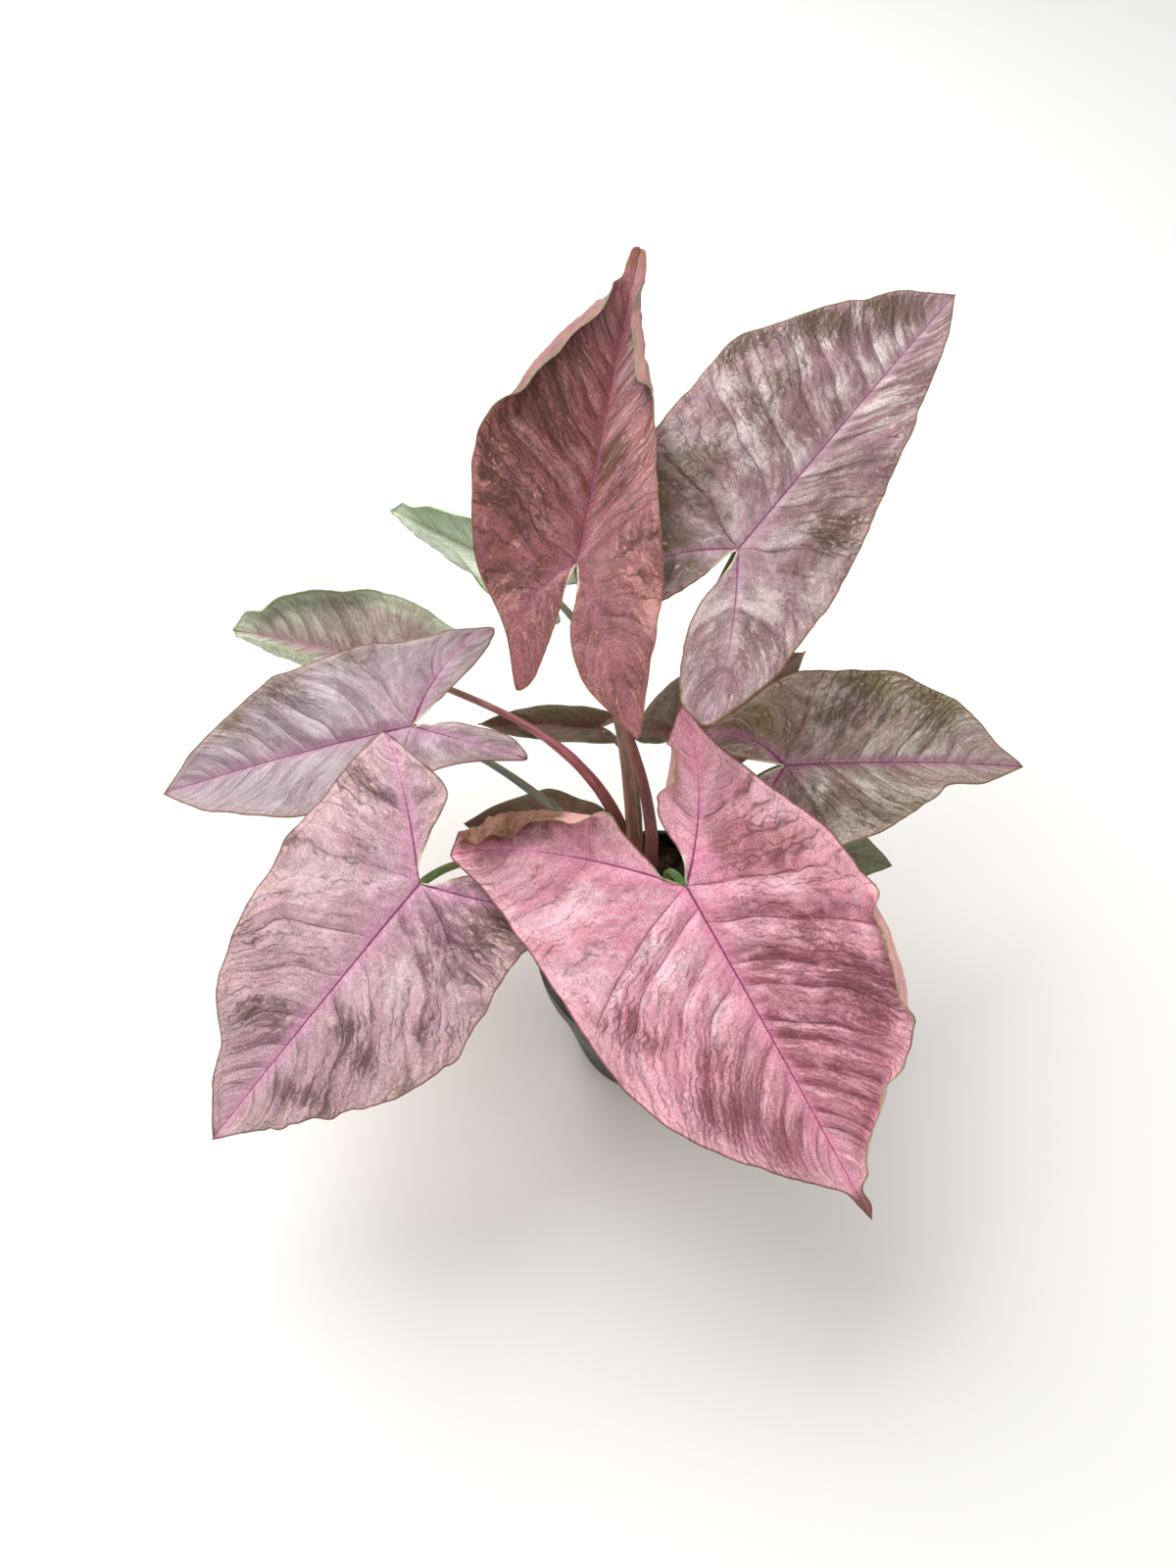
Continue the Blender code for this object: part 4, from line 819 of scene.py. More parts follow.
backRight = dict(
    common, node="leaf_back_right", slot="blade_olive", shoot="stem_back_right", seed=400, look=oliveLook,
    attach=(25, 90, 223), heading=52, pitch=11, tilt=10, length=163, bend=6, ripple=(1.5, 5, 0.7),
    lobeRows=74, veins=[0, 23, 40, 62, 76, 94, 105, 119, 129, 139, 147, 156, 163], quilt=1.0,
    right=dict(
        lobe=(33, -66), outer=[(40, -40), (41, -14), (39, 14), (33, 44), (26, 76), (19, 104), (11, 136)],
        sinus=[(20, -64), (7, -44), (2, -26), (2, -10)], fold=10, arch=22, lobeFold=12, droop=6),
    left=dict(
        lobe=(24, -56), outer=[(40, -34), (51, -6), (55, 26), (57, 60), (53, 86), (38, 112), (20, 142)],
        sinus=[(17, -48), (9, -34), (4, -20), (2, -8)], fold=12, arch=18, lobeFold=4, droop=8),
    stalk=("#6a4f38", "#96765e", "#a07c68", "#7a7a50", "#4b6b2a"),
    # the tint, mottle and darkening at the left lobe's base paint its shade behind leaf_back_centre over its
    # own brown, and its silver is taken away there
    areas=dict(
        mottle=[0.12, (-1, 54, 68, 8, 0.8), (-1, 50, 85, 8, 0.9), (-1, 40, 101, 9, 1.0),
                (-1, 30, 112, 9, 0.9), (-1, 15, 131, 9, 0.9), (-1, 35, 8, 9, 0.8), (-1, 32, 23, 9, 0.7),
                (-1, 31, 53, 8, 0.6), (-1, 29, 70, 8, 0.7), (-1, 41, 14, 8, 0.7), (-1, 4, 73, 7, 0.5),
                (1, 22, 28, 10, 0.7), (-1, 34, -22, 18, 0.9), (-1, 8, 142, 8, 0.7), (1, 8, 110, 9, 0.5)],
        fleck=[0.15, (1, 36, 30, 14, 0.6), (1, 34, -30, 16, 0.4), (-1, 36, 70, 16, 0.4),
               (1, 20, 90, 14, 0.4)],
        silverAndSheen=[0.6, (-1, 32, 45, 16, 0.5), (-1, 18, 34, 12, 0.5), (1, 11, 104, 20, 0.8),
                (1, 24, -30, 18, 0.4), (-1, 14, 108, 20, 0.8), (-1, 34, -24, 20, -0.6)],
        tint=[0, (-1, 54, 70, 9, 0.6), (-1, 38, 108, 9, 0.7), (-1, 22, 134, 8, 0.8), (-1, 30, -28, 22, 1.0),
              (-1, 46, -10, 16, 0.9)],
        shadeAndDarkTone=[0.2, (-1, 30, 4, 20, 0.7), (-1, 18, 55, 18, 0.5), (1, 22, 36, 24, 0.8),
              (-1, 30, -26, 24, 1.0), (-1, 44, -8, 16, 0.9)]))

right = dict(
    common, node="leaf_right", slot="blade_olive", shoot="stem_back_right", seed=500, look=mossLook,
    attach=(46, 36, 160), heading=6, pitch=-3, tilt=16, length=108, bend=20, ripple=(1.2, 4, 0.3),
    lobeRows=48, veins=[0, 17, 29, 45, 55, 68, 77, 87, 95, 102, 108],
    right=dict(
        lobe=(34, -34), outer=[(36, -12), (36, 12), (32, 30), (23, 48), (11, 68), (8, 88)],
        sinus=[(22, -30), (9, -20), (3, -8)], fold=18, arch=26, lobeFold=8, droop=8),
    left=dict(
        lobe=(12, -38), outer=[(23, -19), (36, 3), (38, 26), (36, 52), (26, 74), (9, 94)],
        sinus=[(7, -28), (3, -14)], fold=18, arch=20, lobeFold=8, droop=8),
    stalk=("#4f3a26", "#6f5a3c", "#6a7040", "#4b6b2a"),
    areas=dict(
        mottle=[0.12, (-1, 17, 20, 12, 0.5), (-1, 30, 34, 10, 0.7), (-1, 12, 60, 12, 0.5),
                (-1, 26, 60, 9, 0.6), (1, 15, 12, 8, 0.6), (-1, 14, -16, 9, 0.8), (1, 24, 34, 8, 0.5)],
        fleck=[0.2, (-1, 24, 50, 14, 0.5), (1, 8, 60, 12, 0.5)],
        silverAndSheen=[0.4, (1, 14, 36, 16, 0.6), (1, 9, 15, 8, 0.5), (-1, 8, 50, 12, 0.4)],
        tint=[0.15, (-1, 33, 40, 12, 0.7), (-1, 18, -8, 16, 0.5), (-1, 26, 66, 12, 0.6),
              (1, 20, 46, 9, 0.3)],
        shadeAndDarkTone=[0.15, (-1, 16, 16, 18, 0.5), (1, 20, 6, 18, 0.9), (-1, 14, -16, 12, 0.7),
              (1, 20, 40, 14, 0.5)]))

left = dict(
    common, node="leaf_left", slot="blade_mauve", shoot="stem_back_left", seed=600, look=paleLook,
    attach=(-103, 61, 153), heading=-172, pitch=-10, tilt=-12, swing=(0, -10), length=113, bend=12,
    ripple=(1.2, 4, 0.6), lobeRows=50, veins=evenVeins(113, 16, 7),
    right=dict(
        lobe=(38, -41), outer=[(40, -20), (38, 6), (37, 36), (30, 64), (12, 96)],
        sinus=[(28, -36), (15, -22), (5, -8)], fold=20, arch=16, lobeFold=8, droop=6),
    left=dict(
        lobe=(26, -46), outer=[(22, -18), (27, 6), (32, 26), (29, 60), (13, 96)],
        sinus=[(14, -39), (4, -20), (1, -7)], fold=20, arch=16, lobeFold=8, droop=6),
    stalk=("#4f3a30", "#6f6a54", "#737d6e", "#6f7a6c"),
    areas=dict(
        mottle=[0.12, (1, 30, 50, 12, 0.6), (1, 38, 10, 10, 0.4), (-1, 26, 10, 12, 0.4)],
        fleck=[0.15, (-1, 20, 90, 14, 0.6)], silverAndSheen=[0.6, (1, 20, 30, 20, 0.3)],
        tint=[0, (1, 36, 50, 11, 0.8), (1, 26, 76, 11, 0.9), (1, 38, 20, 9, 0.6)],
        shadeAndDarkTone=[0.1, (1, 28, -16, 18, 0.9), (-1, 16, -24, 20, 1.0), (-1, 20, 10, 16, 0.5)]))

backLeft = dict(
    common, node="leaf_back_left", slot="blade_mint", shoot="stem_back_left", seed=700, look=mintLook,
    pace=1.3, attach=(-110, 100, 142), heading=160, pitch=-1, tilt=-12, swing=(8, 8), lift=22, length=90,
    bend=10, ripple=(1.0, 3, 0.2), lobeRows=26, veins=evenVeins(90, 13, 7), quilt=0.6,
    right=dict(
        lobe=(20, -30), outer=[(26, -10), (30, 14), (29, 36), (25, 58), (14, 78)],
        sinus=[(11, -24), (4, -12)], fold=24, arch=10, lobeFold=8, droop=8, roll=[(0.35, 1.0, 120)]),
    left=dict(
        lobe=(13, -18), outer=[(19, -4), (22, 14), (18, 40), (15, 60), (8, 78)], sinus=[(5, -9)], fold=24,
        arch=10, lobeFold=8, droop=8, roll=[(0.35, 1.0, 100)]),
    stalk=("#54402c", "#6f4a3a", "#9a4f54", "#a86064", "#8f6f66", "#8a9080"),
    areas=dict(
        mottle=[0.3, (0, 12, 40, 18, 0.4)], fleck=[0.1], silverAndSheen=[0.1],
        tint=[0, (-1, 14, 70, 14, 1.0), (1, 24, 60, 16, 1.0), (-1, 18, 10, 8, 0.6), (1, 30, 30, 9, 0.9),
              (-1, 18, 42, 12, 0.9), (0, 4, 84, 12, 0.8)],
        shadeAndDarkTone=[0.5]))

young = dict(
    common, node="leaf_young", slot="blade_mint", shoot="stem_back_left", seed=800, look=youngLook, pace=1.3,
    attach=(-52, 104, 191), heading=148, pitch=6, tilt=-28, length=80, bend=20, ripple=(0.6, 3, 0.4),
    lobeRows=18, veins=evenVeins(80, 11, 7), quilt=0.4,
    both=dict(
        lobe=(12, -20), outer=[(18, -4), (20, 16), (17, 38), (11, 60)], sinus=[(5, -12)], fold=45, arch=8,
        lobeFold=30, droop=8, roll=[(0.3, 1.0, 90)]),
    stalk=("#7a5a48", "#9a7462", "#96887a", "#8f9c84"),
    areas=dict(fleck=[0.1], silverAndSheen=[0.8], tint=[0.9]))

rightLow = dict(
    common, node="leaf_right_low", slot="blade_green", shoot="stem_back_right", seed=900, look=greenLook,
    pace=1.3, attach=(42, 28, 124), heading=-7, pitch=-10, tilt=6, length=58, bend=14, ripple=(0.8, 3, 0.4),
    lobeRows=16, veins=evenVeins(58, 10, 6), quilt=0.6,
    both=dict(
        lobe=(14, -18), outer=[(20, -4), (21, 14), (16, 34), (6, 50)], sinus=[(6, -11)], fold=12, arch=20,
        lobeFold=6, droop=8),
    stalk=("#4a4a2c", "#55602f", "#5c6a38"),
    areas=dict(mottle=[0.2], fleck=[0.1], silverAndSheen=[0.3], tint=[0.1]))

behind = dict(
    common, node="leaf_behind", slot="blade_dusk", shoot="stem_back_right", seed=1000, look=shadowLook,
    pace=1.3, attach=(11, 67, 137), heading=41, pitch=4, tilt=6, length=73, bend=8, ripple=(0.8, 3, 0.1),
    lobeRows=18, veins=evenVeins(73, 11, 6), quilt=0.7,
    both=dict(
        lobe=(15, -19), outer=[(22, -4), (24, 14), (18, 38), (7, 60)], sinus=[(6, -12)], fold=12, arch=20,
        lobeFold=6, droop=8),
    stalk=("#4a3a26", "#5a5a34", "#5c6a44"),
    areas=dict(mottle=[0.4], fleck=[0.1], silverAndSheen=[0.1], tint=[0.3], shadeAndDarkTone=[0.4]))

inner = dict(
    common, node="leaf_inner", slot="blade_dusk", shoot="stem_back_left", seed=1100, look=maroonLook,
    pace=1.2, attach=(-26, 80, 127), heading=175, pitch=-1, tilt=-16, length=54, bend=8,
    ripple=(0.6, 3, 0.6), lobeRows=12, veins=evenVeins(54, 10, 6), quilt=0.4,
    both=dict(
        lobe=(6, -12), outer=[(8, -2), (9, 12), (8, 30), (4, 44)], sinus=[(3, -7)], fold=24, arch=20,
        lobeFold=10, droop=8),
    stalk=("#4f3428", "#70684e", "#6a6a47"),
    areas=dict(mottle=[0.5], fleck=[0.1], silverAndSheen=[0.1], tint=[0.4], shadeAndDarkTone=[0.4]))

lowLeft = dict(
    common, node="leaf_low_left", slot="blade_green", shoot="stem_back_left", seed=1200,
    look=dict(maroonLook, seed=12), pace=1.2, attach=(-38, 33, 112), heading=174, pitch=8, tilt=-8,
    length=46, bend=10, ripple=(0.8, 3, 0.6), lobeRows=16, veins=evenVeins(46, 9, 6), quilt=0.5,
    both=dict(
        lobe=(14, -18), outer=[(19, -5), (20, 11), (14, 27), (6, 38)], sinus=[(6, -12)], fold=12, arch=20,
        lobeFold=6, droop=8),
    stalk=("#4a4030", "#5a5a3c", "#606a48"),
    areas=dict(mottle=[0.3], fleck=[0.1], silverAndSheen=[0.2], tint=[0.3]))

leaves = [frontRight, frontLeft, backCentre, backRight, right, left, backLeft, young, rightLow, behind, inner,
          lowLeft]
for leaf in leaves:
    makeBlade(leaf)


# Stalks and shoots. A shoot stands in the soil, and each stalk bows up from it to the blade it carries. Its
# colour runs through the stops in the leaf's own stalk list, from its foot to the blade.
stalkShape = dict(soilTop=76, foot=4, step=3.2, rise=0.45, spread=0.12, reach=0.38, lean=1.1, taper=1.4,
                  footRadius=3.1, topRadius=1.6, solidBlade=0.7, gap=0.45, tipRadius=1.15, tipDrop=1.1,
                  rows=72, tipRows=5, columns=20, sheath=0.42, lip=0.34, lipPlace=0.8, lipWidth=0.28,
                  channel=0.12, sheathChannel=0.4, channelWidth=0.5, knobs=0.05, varies=0.06, smoothAngle=60,
                  fleck="#6a4a3a")
shootShape = dict(low=68, top=93, footRadius=4.9, topRadius=3.2, ringStep=3.6, ring=0.07, ringWidth=0.12,
                  ringSlope=0.05, knobs=0.05, rows=60, columns=28, foot="#6d5236", tip="#7f7a4c")
shoots = dict(
    stem_front=dict(place=(5, -2), crown=(0, -1), seed=41),
    stem_back_right=dict(place=(19, 15), crown=(1, 1), seed=42),
    stem_back_left=dict(place=(-9, 14), crown=(-1, 1), seed=43))


def stalkPath(shoot, leaf, rank):
    # the middle line from inside the shoot to the blade, and the radius along it
    turn = placement(leaf).to_3x3()
    normal, forward = np.array(turn.col[2]), np.array(turn.col[1])
    arrive = unit(normal + forward * stalkShape["lean"])
    slant = math.sqrt(max(0, 1 - float(arrive @ normal) ** 2))
    attach = np.array(leaf["attach"], float)
    end = attach - normal * (stalkShape["solidBlade"] + stalkShape["gap"] + stalkShape["topRadius"] * slant)
    foot = stalkShape["soilTop"] + stalkShape["foot"] + stalkShape["step"] * rank
    start = np.array((*shoot["place"], foot), float) + (*shoot["crown"], 0)
    span = np.linalg.norm(end - start)
    swing = np.array((*leaf.get("swing", (0, 0)), 0.0))
    first = start + (0, 0, span * stalkShape["rise"] + leaf.get("lift", 0)) + swing
    first += np.array((end[0] - start[0], end[1] - start[1], 0)) * stalkShape["spread"]
    second = end - arrive * span * stalkShape["reach"] + swing
    t = np.linspace(0, 1, stalkShape["rows"])[:, None]
    path = start * (1 - t)**3 + first * 3 * t * (1 - t)**2 + second * 3 * t**2 * (1 - t) + end * t**3
    thick, thin, tip = stalkShape["footRadius"], stalkShape["topRadius"], stalkShape["tipRadius"]
    radius = thick + (thin - thick) * np.minimum(1, stalkShape["taper"] * t[:, 0])
    rest = np.linspace(0, 1, stalkShape["tipRows"] + 1)[1:, None]
    joint = attach - normal * stalkShape["tipDrop"]
    path = np.vstack([path, end + (joint - end) * rest])
    return path, np.concatenate([radius, thin + (tip - thin) * rest[:, 0]])


def knobbly(t, around, seed, amount):
    # soft lumps along a tube and round it
    return amount * softNoise(t, np.sin(around) * 2 + np.cos(around), seed)


def roundedAlong(path, radius, shapeRound, across):
    # a tube's grid: one ring of points for each place on the path, its first and last rings drawn to a point
    way = unit(np.gradient(path, axis=0))
    front = unit(np.cross(way, across))
    side = np.cross(way, front)
    around = np.linspace(0, 2 * math.pi, shapeRound.shape[1])
    size = radius[:, None] * shapeRound
    size[0] = size[-1] = 0
    return path[:, None] + (np.cos(around) * size)[..., None] * front[:, None] \
        + (np.sin(around) * size)[..., None] * side[:, None]


def stalkGrid(shoot, leaf, rank):
    path, radius = stalkPath(shoot, leaf, rank)
    t = np.linspace(0, 1, len(path))[:, None]
    around = np.linspace(-math.pi, math.pi, stalkShape["columns"] + 1)[None]
    s = stalkShape
    sheath = 1 - smoothstep(t / s["sheath"])
    lips = np.exp(-((np.abs(around) - s["lipPlace"]) / s["lipWidth"]) ** 2)
    channel = np.exp(-(around / s["channelWidth"]) ** 2)
    shapeRound = 1 + s["lip"] * sheath * lips - (s["channel"] + s["sheathChannel"] * sheath) * channel
    shapeRound = shapeRound + knobbly(t * 26, around, leaf["seed"] + 31, s["knobs"])
    shapeRound = shapeRound * (1 + s["varies"] * softNoise(t * 9, 0 * around, leaf["seed"] + 32))
    reach = np.array((path[-1][0] - path[0][0], path[-1][1] - path[0][1], 0))
    across = np.cross((0, 0, 1), unit(reach))
    shapeRound = np.roll(shapeRound[:, :-1], stalkShape["columns"] // 2, axis=1)
    shapeRound = np.concatenate([shapeRound, shapeRound[:, :1]], 1)
    points = roundedAlong(path, radius, shapeRound, across)
    stops = np.array([hexColour(text)[:3] for text in leaf["stalk"]])
    places = np.linspace(0, 1, len(stops))
    colour = np.stack([np.interp(t[:, 0], places, stops[:, k]) for k in range(3)], -1)
    colour = np.broadcast_to(colour[:, None], points.shape)
    length = np.linalg.norm(np.diff(path, axis=0), axis=1).sum()
    spot = np.broadcast_arrays(t * length, (around + math.pi) * 2.2, np.full((1, 1), float(rank * 9)))
    return fillGrid(leaf["node"] + "_stalk", points, dict(skin=colour, along=np.stack(spot, -1)))


def shootGrid(name, shoot):
    # the short stem, with a ring wherever an old leaf stood
    rows, columns = shootShape["rows"], shootShape["columns"]
    height = np.linspace(shootShape["low"], shootShape["top"], rows)
    t = np.linspace(0, 1, rows)[:, None]
    around = np.linspace(0, 2 * math.pi, columns + 1)[None]
    path = np.stack([0 * height + shoot["place"][0], 0 * height + shoot["place"][1], height], -1)
    radius = shootShape["footRadius"] + (shootShape["topRadius"] - shootShape["footRadius"]) * t[:, 0]
    ringPlace = (height[:, None] / shootShape["ringStep"] + 0.25 * np.sin(around + shoot["seed"])) % 1
    ring = shootShape["ring"] * np.exp(-((ringPlace - 0.5) / shootShape["ringWidth"]) ** 2)
    shapeRound = 1.02 + ring - shootShape["ringSlope"] * ringPlace
    shapeRound = shapeRound + knobbly(t * 12, around, shoot["seed"], shootShape["knobs"])
    shapeRound[:, -1] = shapeRound[:, 0]
    points = roundedAlong(path, radius, shapeRound, np.array((1.0, 0, 0)))
    low, high = [np.array(hexColour(shootShape[end])[:3]) for end in ("foot", "tip")]
    colour = np.broadcast_to((low + (high - low) * t)[:, None], (rows, 1, 3))
    colour = colour * (1 - 0.5 * np.exp(-((ringPlace - 0.62) / 0.1) ** 2))[..., None]
    spot = np.broadcast_arrays(height[:, None], around * 3.5, np.full((1, 1), 70.0))
    return fillGrid(name + "_shoot", points, dict(skin=colour, along=np.stack(spot, -1)))


def stalkSkin(name):
    # Living stalk, grown: juicy and smooth with a satin skin, fine ribs and flecks along it.
    material, add = newMaterial(name, 0.36, 1.42)
    skin, along = [add("Attribute", out="Vector", attribute_name=key) for key in ("skin", "along")]
    fibres = add("VectorMath MULTIPLY", (along, (0.12, 1, 1)))
    ribs, spots, cloud = [add("TexNoise", {0: place, 2: scale, 3: 2, 4: rough}) for place, scale, rough in (
        (fibres, 1.3, 0.6), (along, 1.5, 0.7), (along, 0.12, 0.5))]
    shade = faded(add, add("MapRange", (ribs, 0.3, 0.7, 0.72, 1.25)), (cloud, 0.35, 0.65, 0.8, 1.2))
    skin = add("VectorMath SCALE", {0: skin, "Scale": shade})
    fleck = add("MapRange", (spots, 0.62, 0.72, 0, 0.55))
    skin = add("Mix RGBA", {0: fleck, 6: skin, 7: stalkShape["fleck"]}, 2)
    height = add("Math MULTIPLY_ADD", (spots, 0.4, ribs))
    bump = add("Bump", {"Height": height, "Distance": 0.25 * mm, "Strength": 0.7})
    return setShader(material, {"Base Color": skin, "Normal": bump})


for name, shoot in shoots.items():
    own = [leaf for leaf in leaves if leaf["shoot"] == name]
    grids = [joinPieces([shootGrid(name, shoot)], name + "_part")]
    grids += [joinPieces([stalkGrid(shoot, leaf, rank)], name + "_part") for rank, leaf in enumerate(own)]
    stem = joinPieces(grids, name.replace("stem", "stalks"), 0.0001)
    stem.data.materials.append(stalkSkin(name + " skin, juicy satin"))
    bpy.ops.object.shade_smooth_by_angle(angle=math.radians(stalkShape["smoothAngle"]))
    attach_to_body(stem, "root")
    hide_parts(name)
    print("stalks of", name, "faces", len(stem.data.polygons))

# Soil: damp peat that fills the pot, with bark crumbs and a few white perlite grains on its mound.
soilShape = dict(top=76, mound=5, lump=1.3, edgeDrop=3, floor=2.5, cornerHeight=4.4, wallGap=0.45, rings=90,
                 ringEase=0.8, edgeRise=2.5, columns=280, crumble=((0.9, 3.1, 78), (0.5, 1.3, 79)),
                 crumbs=520, perlite=46, crumbSize=(0.7, 2.3), perliteSize=(0.7, 1.5), crumbStretch=1.5,
                 crumbRise=0.15, fromWall=2.5, fromShoot=5, seed=77)
# dark and light tone, roughness, and the size of the grain in mm
soilLook = dict(peat=("#1d140d", "#4a3626", 0.93, 0.7), bark=("#2c1c11", "#6b4a30", 0.85, 1.1),
                perlite=("#b9b4aa", "#e6e2da", 0.8, 0.5))
potShape = dict(height=86, rim=53, rimDrop=12, rimStep=2, base=37, wall=1.6, lip=0.6, lipHeight=2.2,
                ease=1.2, lean=0.4, floor=2.2, middle=20, sides=144, drainCount=6, drainRadius=4,
                drainCircle=27, drillDepth=12, smoothAngle=35, plastic="#161617", dust="#6f685e")


def innerRadius(height):
    low = potShape["height"] - potShape["rimDrop"]
    floorRadius = potShape["base"] - potShape["wall"]
    wallRadius = potShape["rim"] - potShape["rimStep"] - potShape["wall"]
    share = (height - potShape["floor"] - potShape["ease"]) / (low - potShape["floor"] - potShape["ease"])
    return floorRadius + share * (wallRadius - floorRadius)


def soilHeight(x, y):
    # the mound and lumps of the soil's solid, with the finer crumble of peat on them
    reach = np.minimum(np.hypot(x, y) / innerRadius(soilShape["top"] - soilShape["edgeDrop"]), 1)
    lumps = np.sin(0.55 * x + 0.8) * np.cos(0.47 * y - 0.4) + 0.7 * np.sin(0.31 * x - 0.42 * y)
    crumble = sum(size * softNoise(x / pitch, y / pitch, seed) for size, pitch, seed in soilShape["crumble"])
    height = soilShape["top"] + soilShape["mound"] * (1 - reach**2)
    return height + (soilShape["lump"] * lumps + crumble) * (1 - reach**6)


def soilBody():
    edge = soilShape["top"] - soilShape["edgeDrop"]
    topRadius = innerRadius(edge) - soilShape["wallGap"]
    around = np.linspace(0, 2 * math.pi, soilShape["columns"] + 1)[None]
    radius = (np.linspace(0, 1, soilShape["rings"]) ** soilShape["ringEase"] * topRadius)[:, None]
    x, y = radius * np.cos(around), radius * np.sin(around)
    top = np.stack([x, y, soilHeight(x, y)], -1)
    low = innerRadius(soilShape["cornerHeight"]) - soilShape["wallGap"]
    skirt = [(topRadius, edge), (low, soilShape["cornerHeight"]),
             (low - potShape["ease"], soilShape["floor"]), (0, soilShape["floor"])]
    walls = [np.stack([radius * np.cos(around), radius * np.sin(around), 0 * around + height], -1)
             for radius, height in skirt]
    top[-1, :, 2] = np.minimum(top[-1, :, 2], edge + soilShape["edgeRise"])
    points = np.concatenate([top] + walls, 0)
    points[:, -1] = points[:, 0]
    return joinPieces([fillGrid("soil_body", points, {})], "soil_body")


def crumbModel(name):
    bpy.ops.mesh.primitive_ico_sphere_add(subdivisions=1, radius=mm)
    crumb = bpy.context.object
    crumb.name = name
    return crumb


def scatter(model, count, sizes, flatness, material, rng):
    # copies of one crumb, each turned, stretched and dented its own way, half sunk in the soil
    copies = []
    radius = innerRadius(soilShape["top"]) - soilShape["fromWall"]
    feet = [shoot["place"] for shoot in shoots.values()]
    while len(copies) < count:
        x, y = rng.uniform(-radius, radius, 2)
        clear = all(math.hypot(x - foot[0], y - foot[1]) > soilShape["fromShoot"] for foot in feet)
        size = rng.uniform(*sizes)
        turn = Matrix.Rotation(rng.uniform(0, 6.28), 4, "Z") @ Matrix.Rotation(rng.uniform(-0.5, 0.5), 4, "X")
        dents = rng.uniform(0.75, 1.25, (len(model.data.vertices), 1))
        if math.hypot(x, y) > radius or not clear:
            continue
        copy = model.copy()
        copy.data = model.data.copy()
        bpy.context.collection.objects.link(copy)
        places = np.zeros(len(copy.data.vertices) * 3, np.float32)
        copy.data.vertices.foreach_get("co", places)
        stretch = np.array((size * soilShape["crumbStretch"], size, size * flatness))
        places = places.reshape(-1, 3) * dents * stretch
        copy.data.vertices.foreach_set("co", places.astype(np.float32).ravel())
        height = float(soilHeight(x, y)) + soilShape["crumbRise"] * size
        copy.data.transform(Matrix.Translation(Vector((x, y, height)) * mm) @ turn)
        copy.data.materials.append(material)
        copies.append(copy)
    bpy.data.objects.remove(model)
    return copies


def peatMaterial(name, dark, light, roughness, grainMm):
    # Milled peat and bark, damp: matt, nearly black brown, with pale dry fibres and a rough fine grain.
    material, add = newMaterial(name, roughness, 1.4)
    place = add("TexCoord", out="Object")
    grain = add("TexNoise", {0: place, 2: 1 / (grainMm * mm), 3: 4, 4: 0.7})
    cloud = add("TexNoise", {0: place, 2: 130, 3: 3})
    mask = add("MapRange", (add("Math MULTIPLY", (grain, cloud)), 0.2, 0.38, 0, 1))
    skin = add("Mix RGBA", {0: mask, 6: dark, 7: light}, 2)
    bump = add("Bump", {"Height": grain, "Distance": 0.8 * mm, "Strength": 0.9})
    return setShader(material, {"Base Color": skin, "Normal": bump})


rng = np.random.default_rng(soilShape["seed"])
body = soilBody()
body.data.materials.append(peatMaterial("peat, damp and milled", *soilLook["peat"]))
bark = peatMaterial("bark crumbs, damp", *soilLook["bark"])
perlite = peatMaterial("perlite, puffed white grains", *soilLook["perlite"])
pieces = [body]
pieces += scatter(crumbModel("crumb"), soilShape["crumbs"], soilShape["crumbSize"], 0.6, bark, rng)
pieces += scatter(crumbModel("grain"), soilShape["perlite"], soilShape["perliteSize"], 0.9, perlite, rng)
soil = joinPieces(pieces, "soil_bed", 0.00001)
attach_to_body(soil, "root")
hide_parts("soil")
print("soil: faces", len(soil.data.polygons))


# Pot: a thin moulded nursery pot, turned from its profile, with a rim band, a lip and six drain holes.
def potProfile():
    # its corners, from the floor inside up over the rim and down to the base: radius, height, rounding
    p = potShape
    low, wall, top = p["height"] - p["rimDrop"], p["rim"] - p["rimStep"], p["height"]
    inside, lip, lipEnd = p["rim"] - p["wall"], p["rim"] + p["lip"], top - p["lipHeight"]
    corners = [(p["base"] - p["wall"], p["floor"], p["ease"]), (wall - p["wall"], low, 0.5),
               (inside, low + p["ease"], 0.5), (inside, top, 0.55), (lip, top, 0.7), (lip, lipEnd, 0.5),
               (p["rim"], lipEnd - p["lean"], 0.3), (p["rim"] - p["lean"], low, 0.6), (wall, low, 0.4),
               (p["base"], 0, p["ease"])]
    ends = [(p["middle"], p["floor"])] + [corner[:2] for corner in corners] + [(p["middle"], 0)]
    profile = [ends[0]]
    for k, (radius, height, ease) in enumerate(corners):
        corner = np.array((radius, height), float)
        before, after = np.array(ends[k]) - corner, np.array(ends[k + 2]) - corner
        start, finish = [corner + unit(arm) * min(ease, np.linalg.norm(arm) * 0.45)
                         for arm in (before, after)]
        for t in (0, 0.25, 0.5, 0.75, 1):
            profile.append(tuple(start * (1 - t)**2 + corner * 2 * t * (1 - t) + finish * t**2))
    return profile + [ends[-1]]


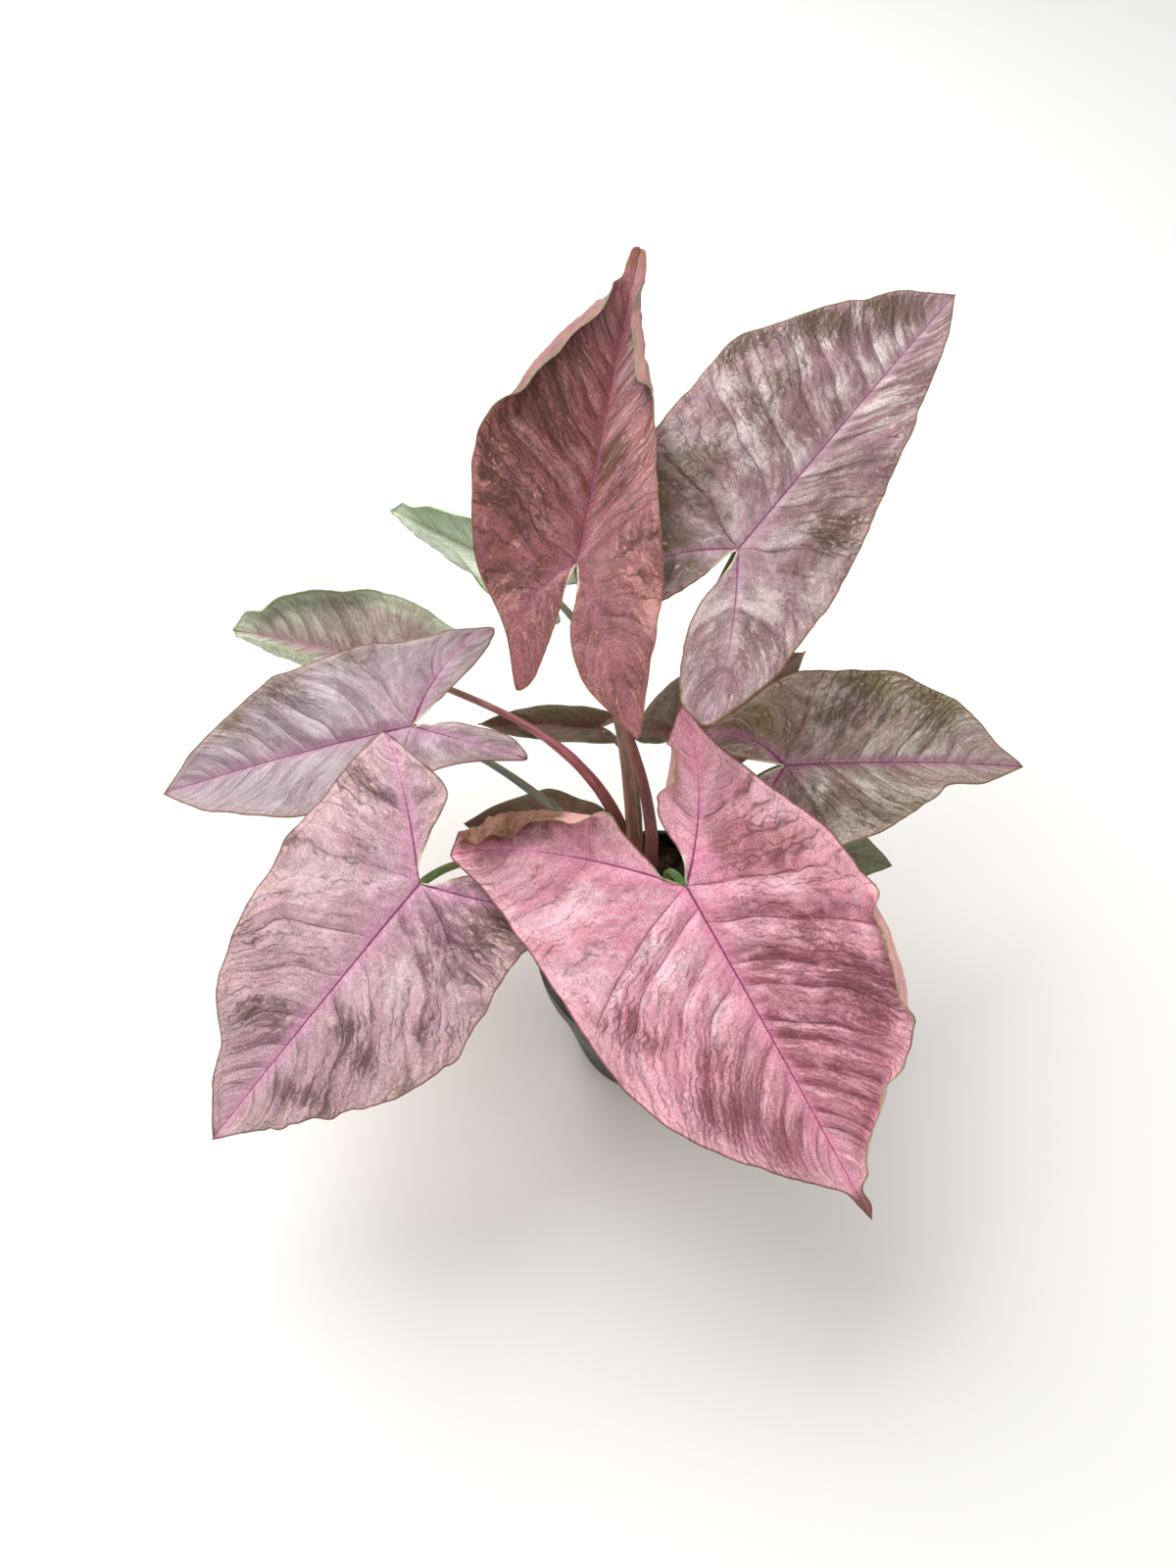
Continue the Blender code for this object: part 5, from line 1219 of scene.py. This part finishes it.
def potMaterial():
    # Polypropylene, injection moulded: near black, satin where it was polished, with a fine stippled skin,
    # dusty scuffs, and dried water marks low on the wall.
    material, add = newMaterial("polypropylene, moulded black", 0.42, 1.49)
    place = add("TexCoord", out="Object")
    drips = add("VectorMath MULTIPLY", (place, (1, 1, 0.12)))
    stipple, dust, streak = [add("TexNoise", {0: where, 2: scale, 3: detail, 4: rough})
                             for where, scale, detail, rough in (
                                 (place, 1600, 2, 0.5), (place, 55, 5, 0.65), (drips, 260, 3, 0.5))]
    lowDust = add("MapRange", (add("SeparateXYZ", [place], 2), 0, 0.05, 0.16, 0))
    dustSum = add("Math ADD", (dust, lowDust))
    mask = add("Math MULTIPLY", (add("MapRange", (dustSum, 0.5, 0.8, 0, 0.5)), streak))
    skin = add("Mix RGBA", {0: mask, 6: potShape["plastic"], 7: potShape["dust"]}, 2)
    gloss = add("MapRange", (dustSum, 0.35, 0.75, 0.32, 0.68))
    bump = add("Bump", {"Height": stipple, "Distance": 0.12 * mm, "Strength": 0.5})
    return setShader(material, {"Base Color": skin, "Roughness": gloss, "Normal": bump})


def makePot():
    profile = potProfile()
    bpy.ops.object.select_all(action="DESELECT")
    bpy.ops.mesh.primitive_circle_add(vertices=potShape["sides"], radius=profile[0][0] * mm,
                                      fill_type="NOTHING", location=(0, 0, profile[0][1] * mm))
    pot = bpy.context.object
    pot.name = pot.data.name = "nursery_pot"
    bpy.ops.object.transform_apply(location=True)
    bpy.ops.object.mode_set(mode="EDIT")
    bpy.ops.mesh.select_all(action="SELECT")
    for (radius, height), (nextRadius, nextHeight) in zip(profile, profile[1:]):
        bpy.ops.mesh.extrude_region_move(TRANSFORM_OT_translate={"value": (0, 0, (nextHeight - height) * mm)})
        grow = nextRadius / radius
        bpy.ops.transform.resize(value=(grow, grow, 1), center_override=(0, 0, nextHeight * mm))
    bpy.ops.mesh.fill()
    bpy.ops.mesh.select_all(action="SELECT")
    bpy.ops.mesh.fill_holes(sides=0)
    bpy.ops.mesh.normals_make_consistent(inside=False)
    bpy.ops.object.mode_set(mode="OBJECT")
    for k in range(potShape["drainCount"]):
        turn = 2 * math.pi * (k + 0.5) / potShape["drainCount"]
        place = Vector((math.cos(turn), math.sin(turn), 0)) * potShape["drainCircle"] * mm
        bpy.ops.mesh.primitive_cylinder_add(vertices=32, radius=potShape["drainRadius"] * mm,
                                            depth=potShape["drillDepth"] * mm, location=place)
        drill = bpy.context.object
        hole = pot.modifiers.new("drain", "BOOLEAN")
        hole.object = drill
        bpy.context.view_layer.objects.active = pot
        bpy.ops.object.modifier_apply(modifier=hole.name)
        bpy.data.objects.remove(drill)
    choose([pot])
    pot.data.materials.append(potMaterial())
    bpy.ops.object.shade_smooth_by_angle(angle=math.radians(potShape["smoothAngle"]))
    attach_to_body(pot, "root")
    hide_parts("pot")
    print("pot: faces", len(pot.data.polygons))


makePot()
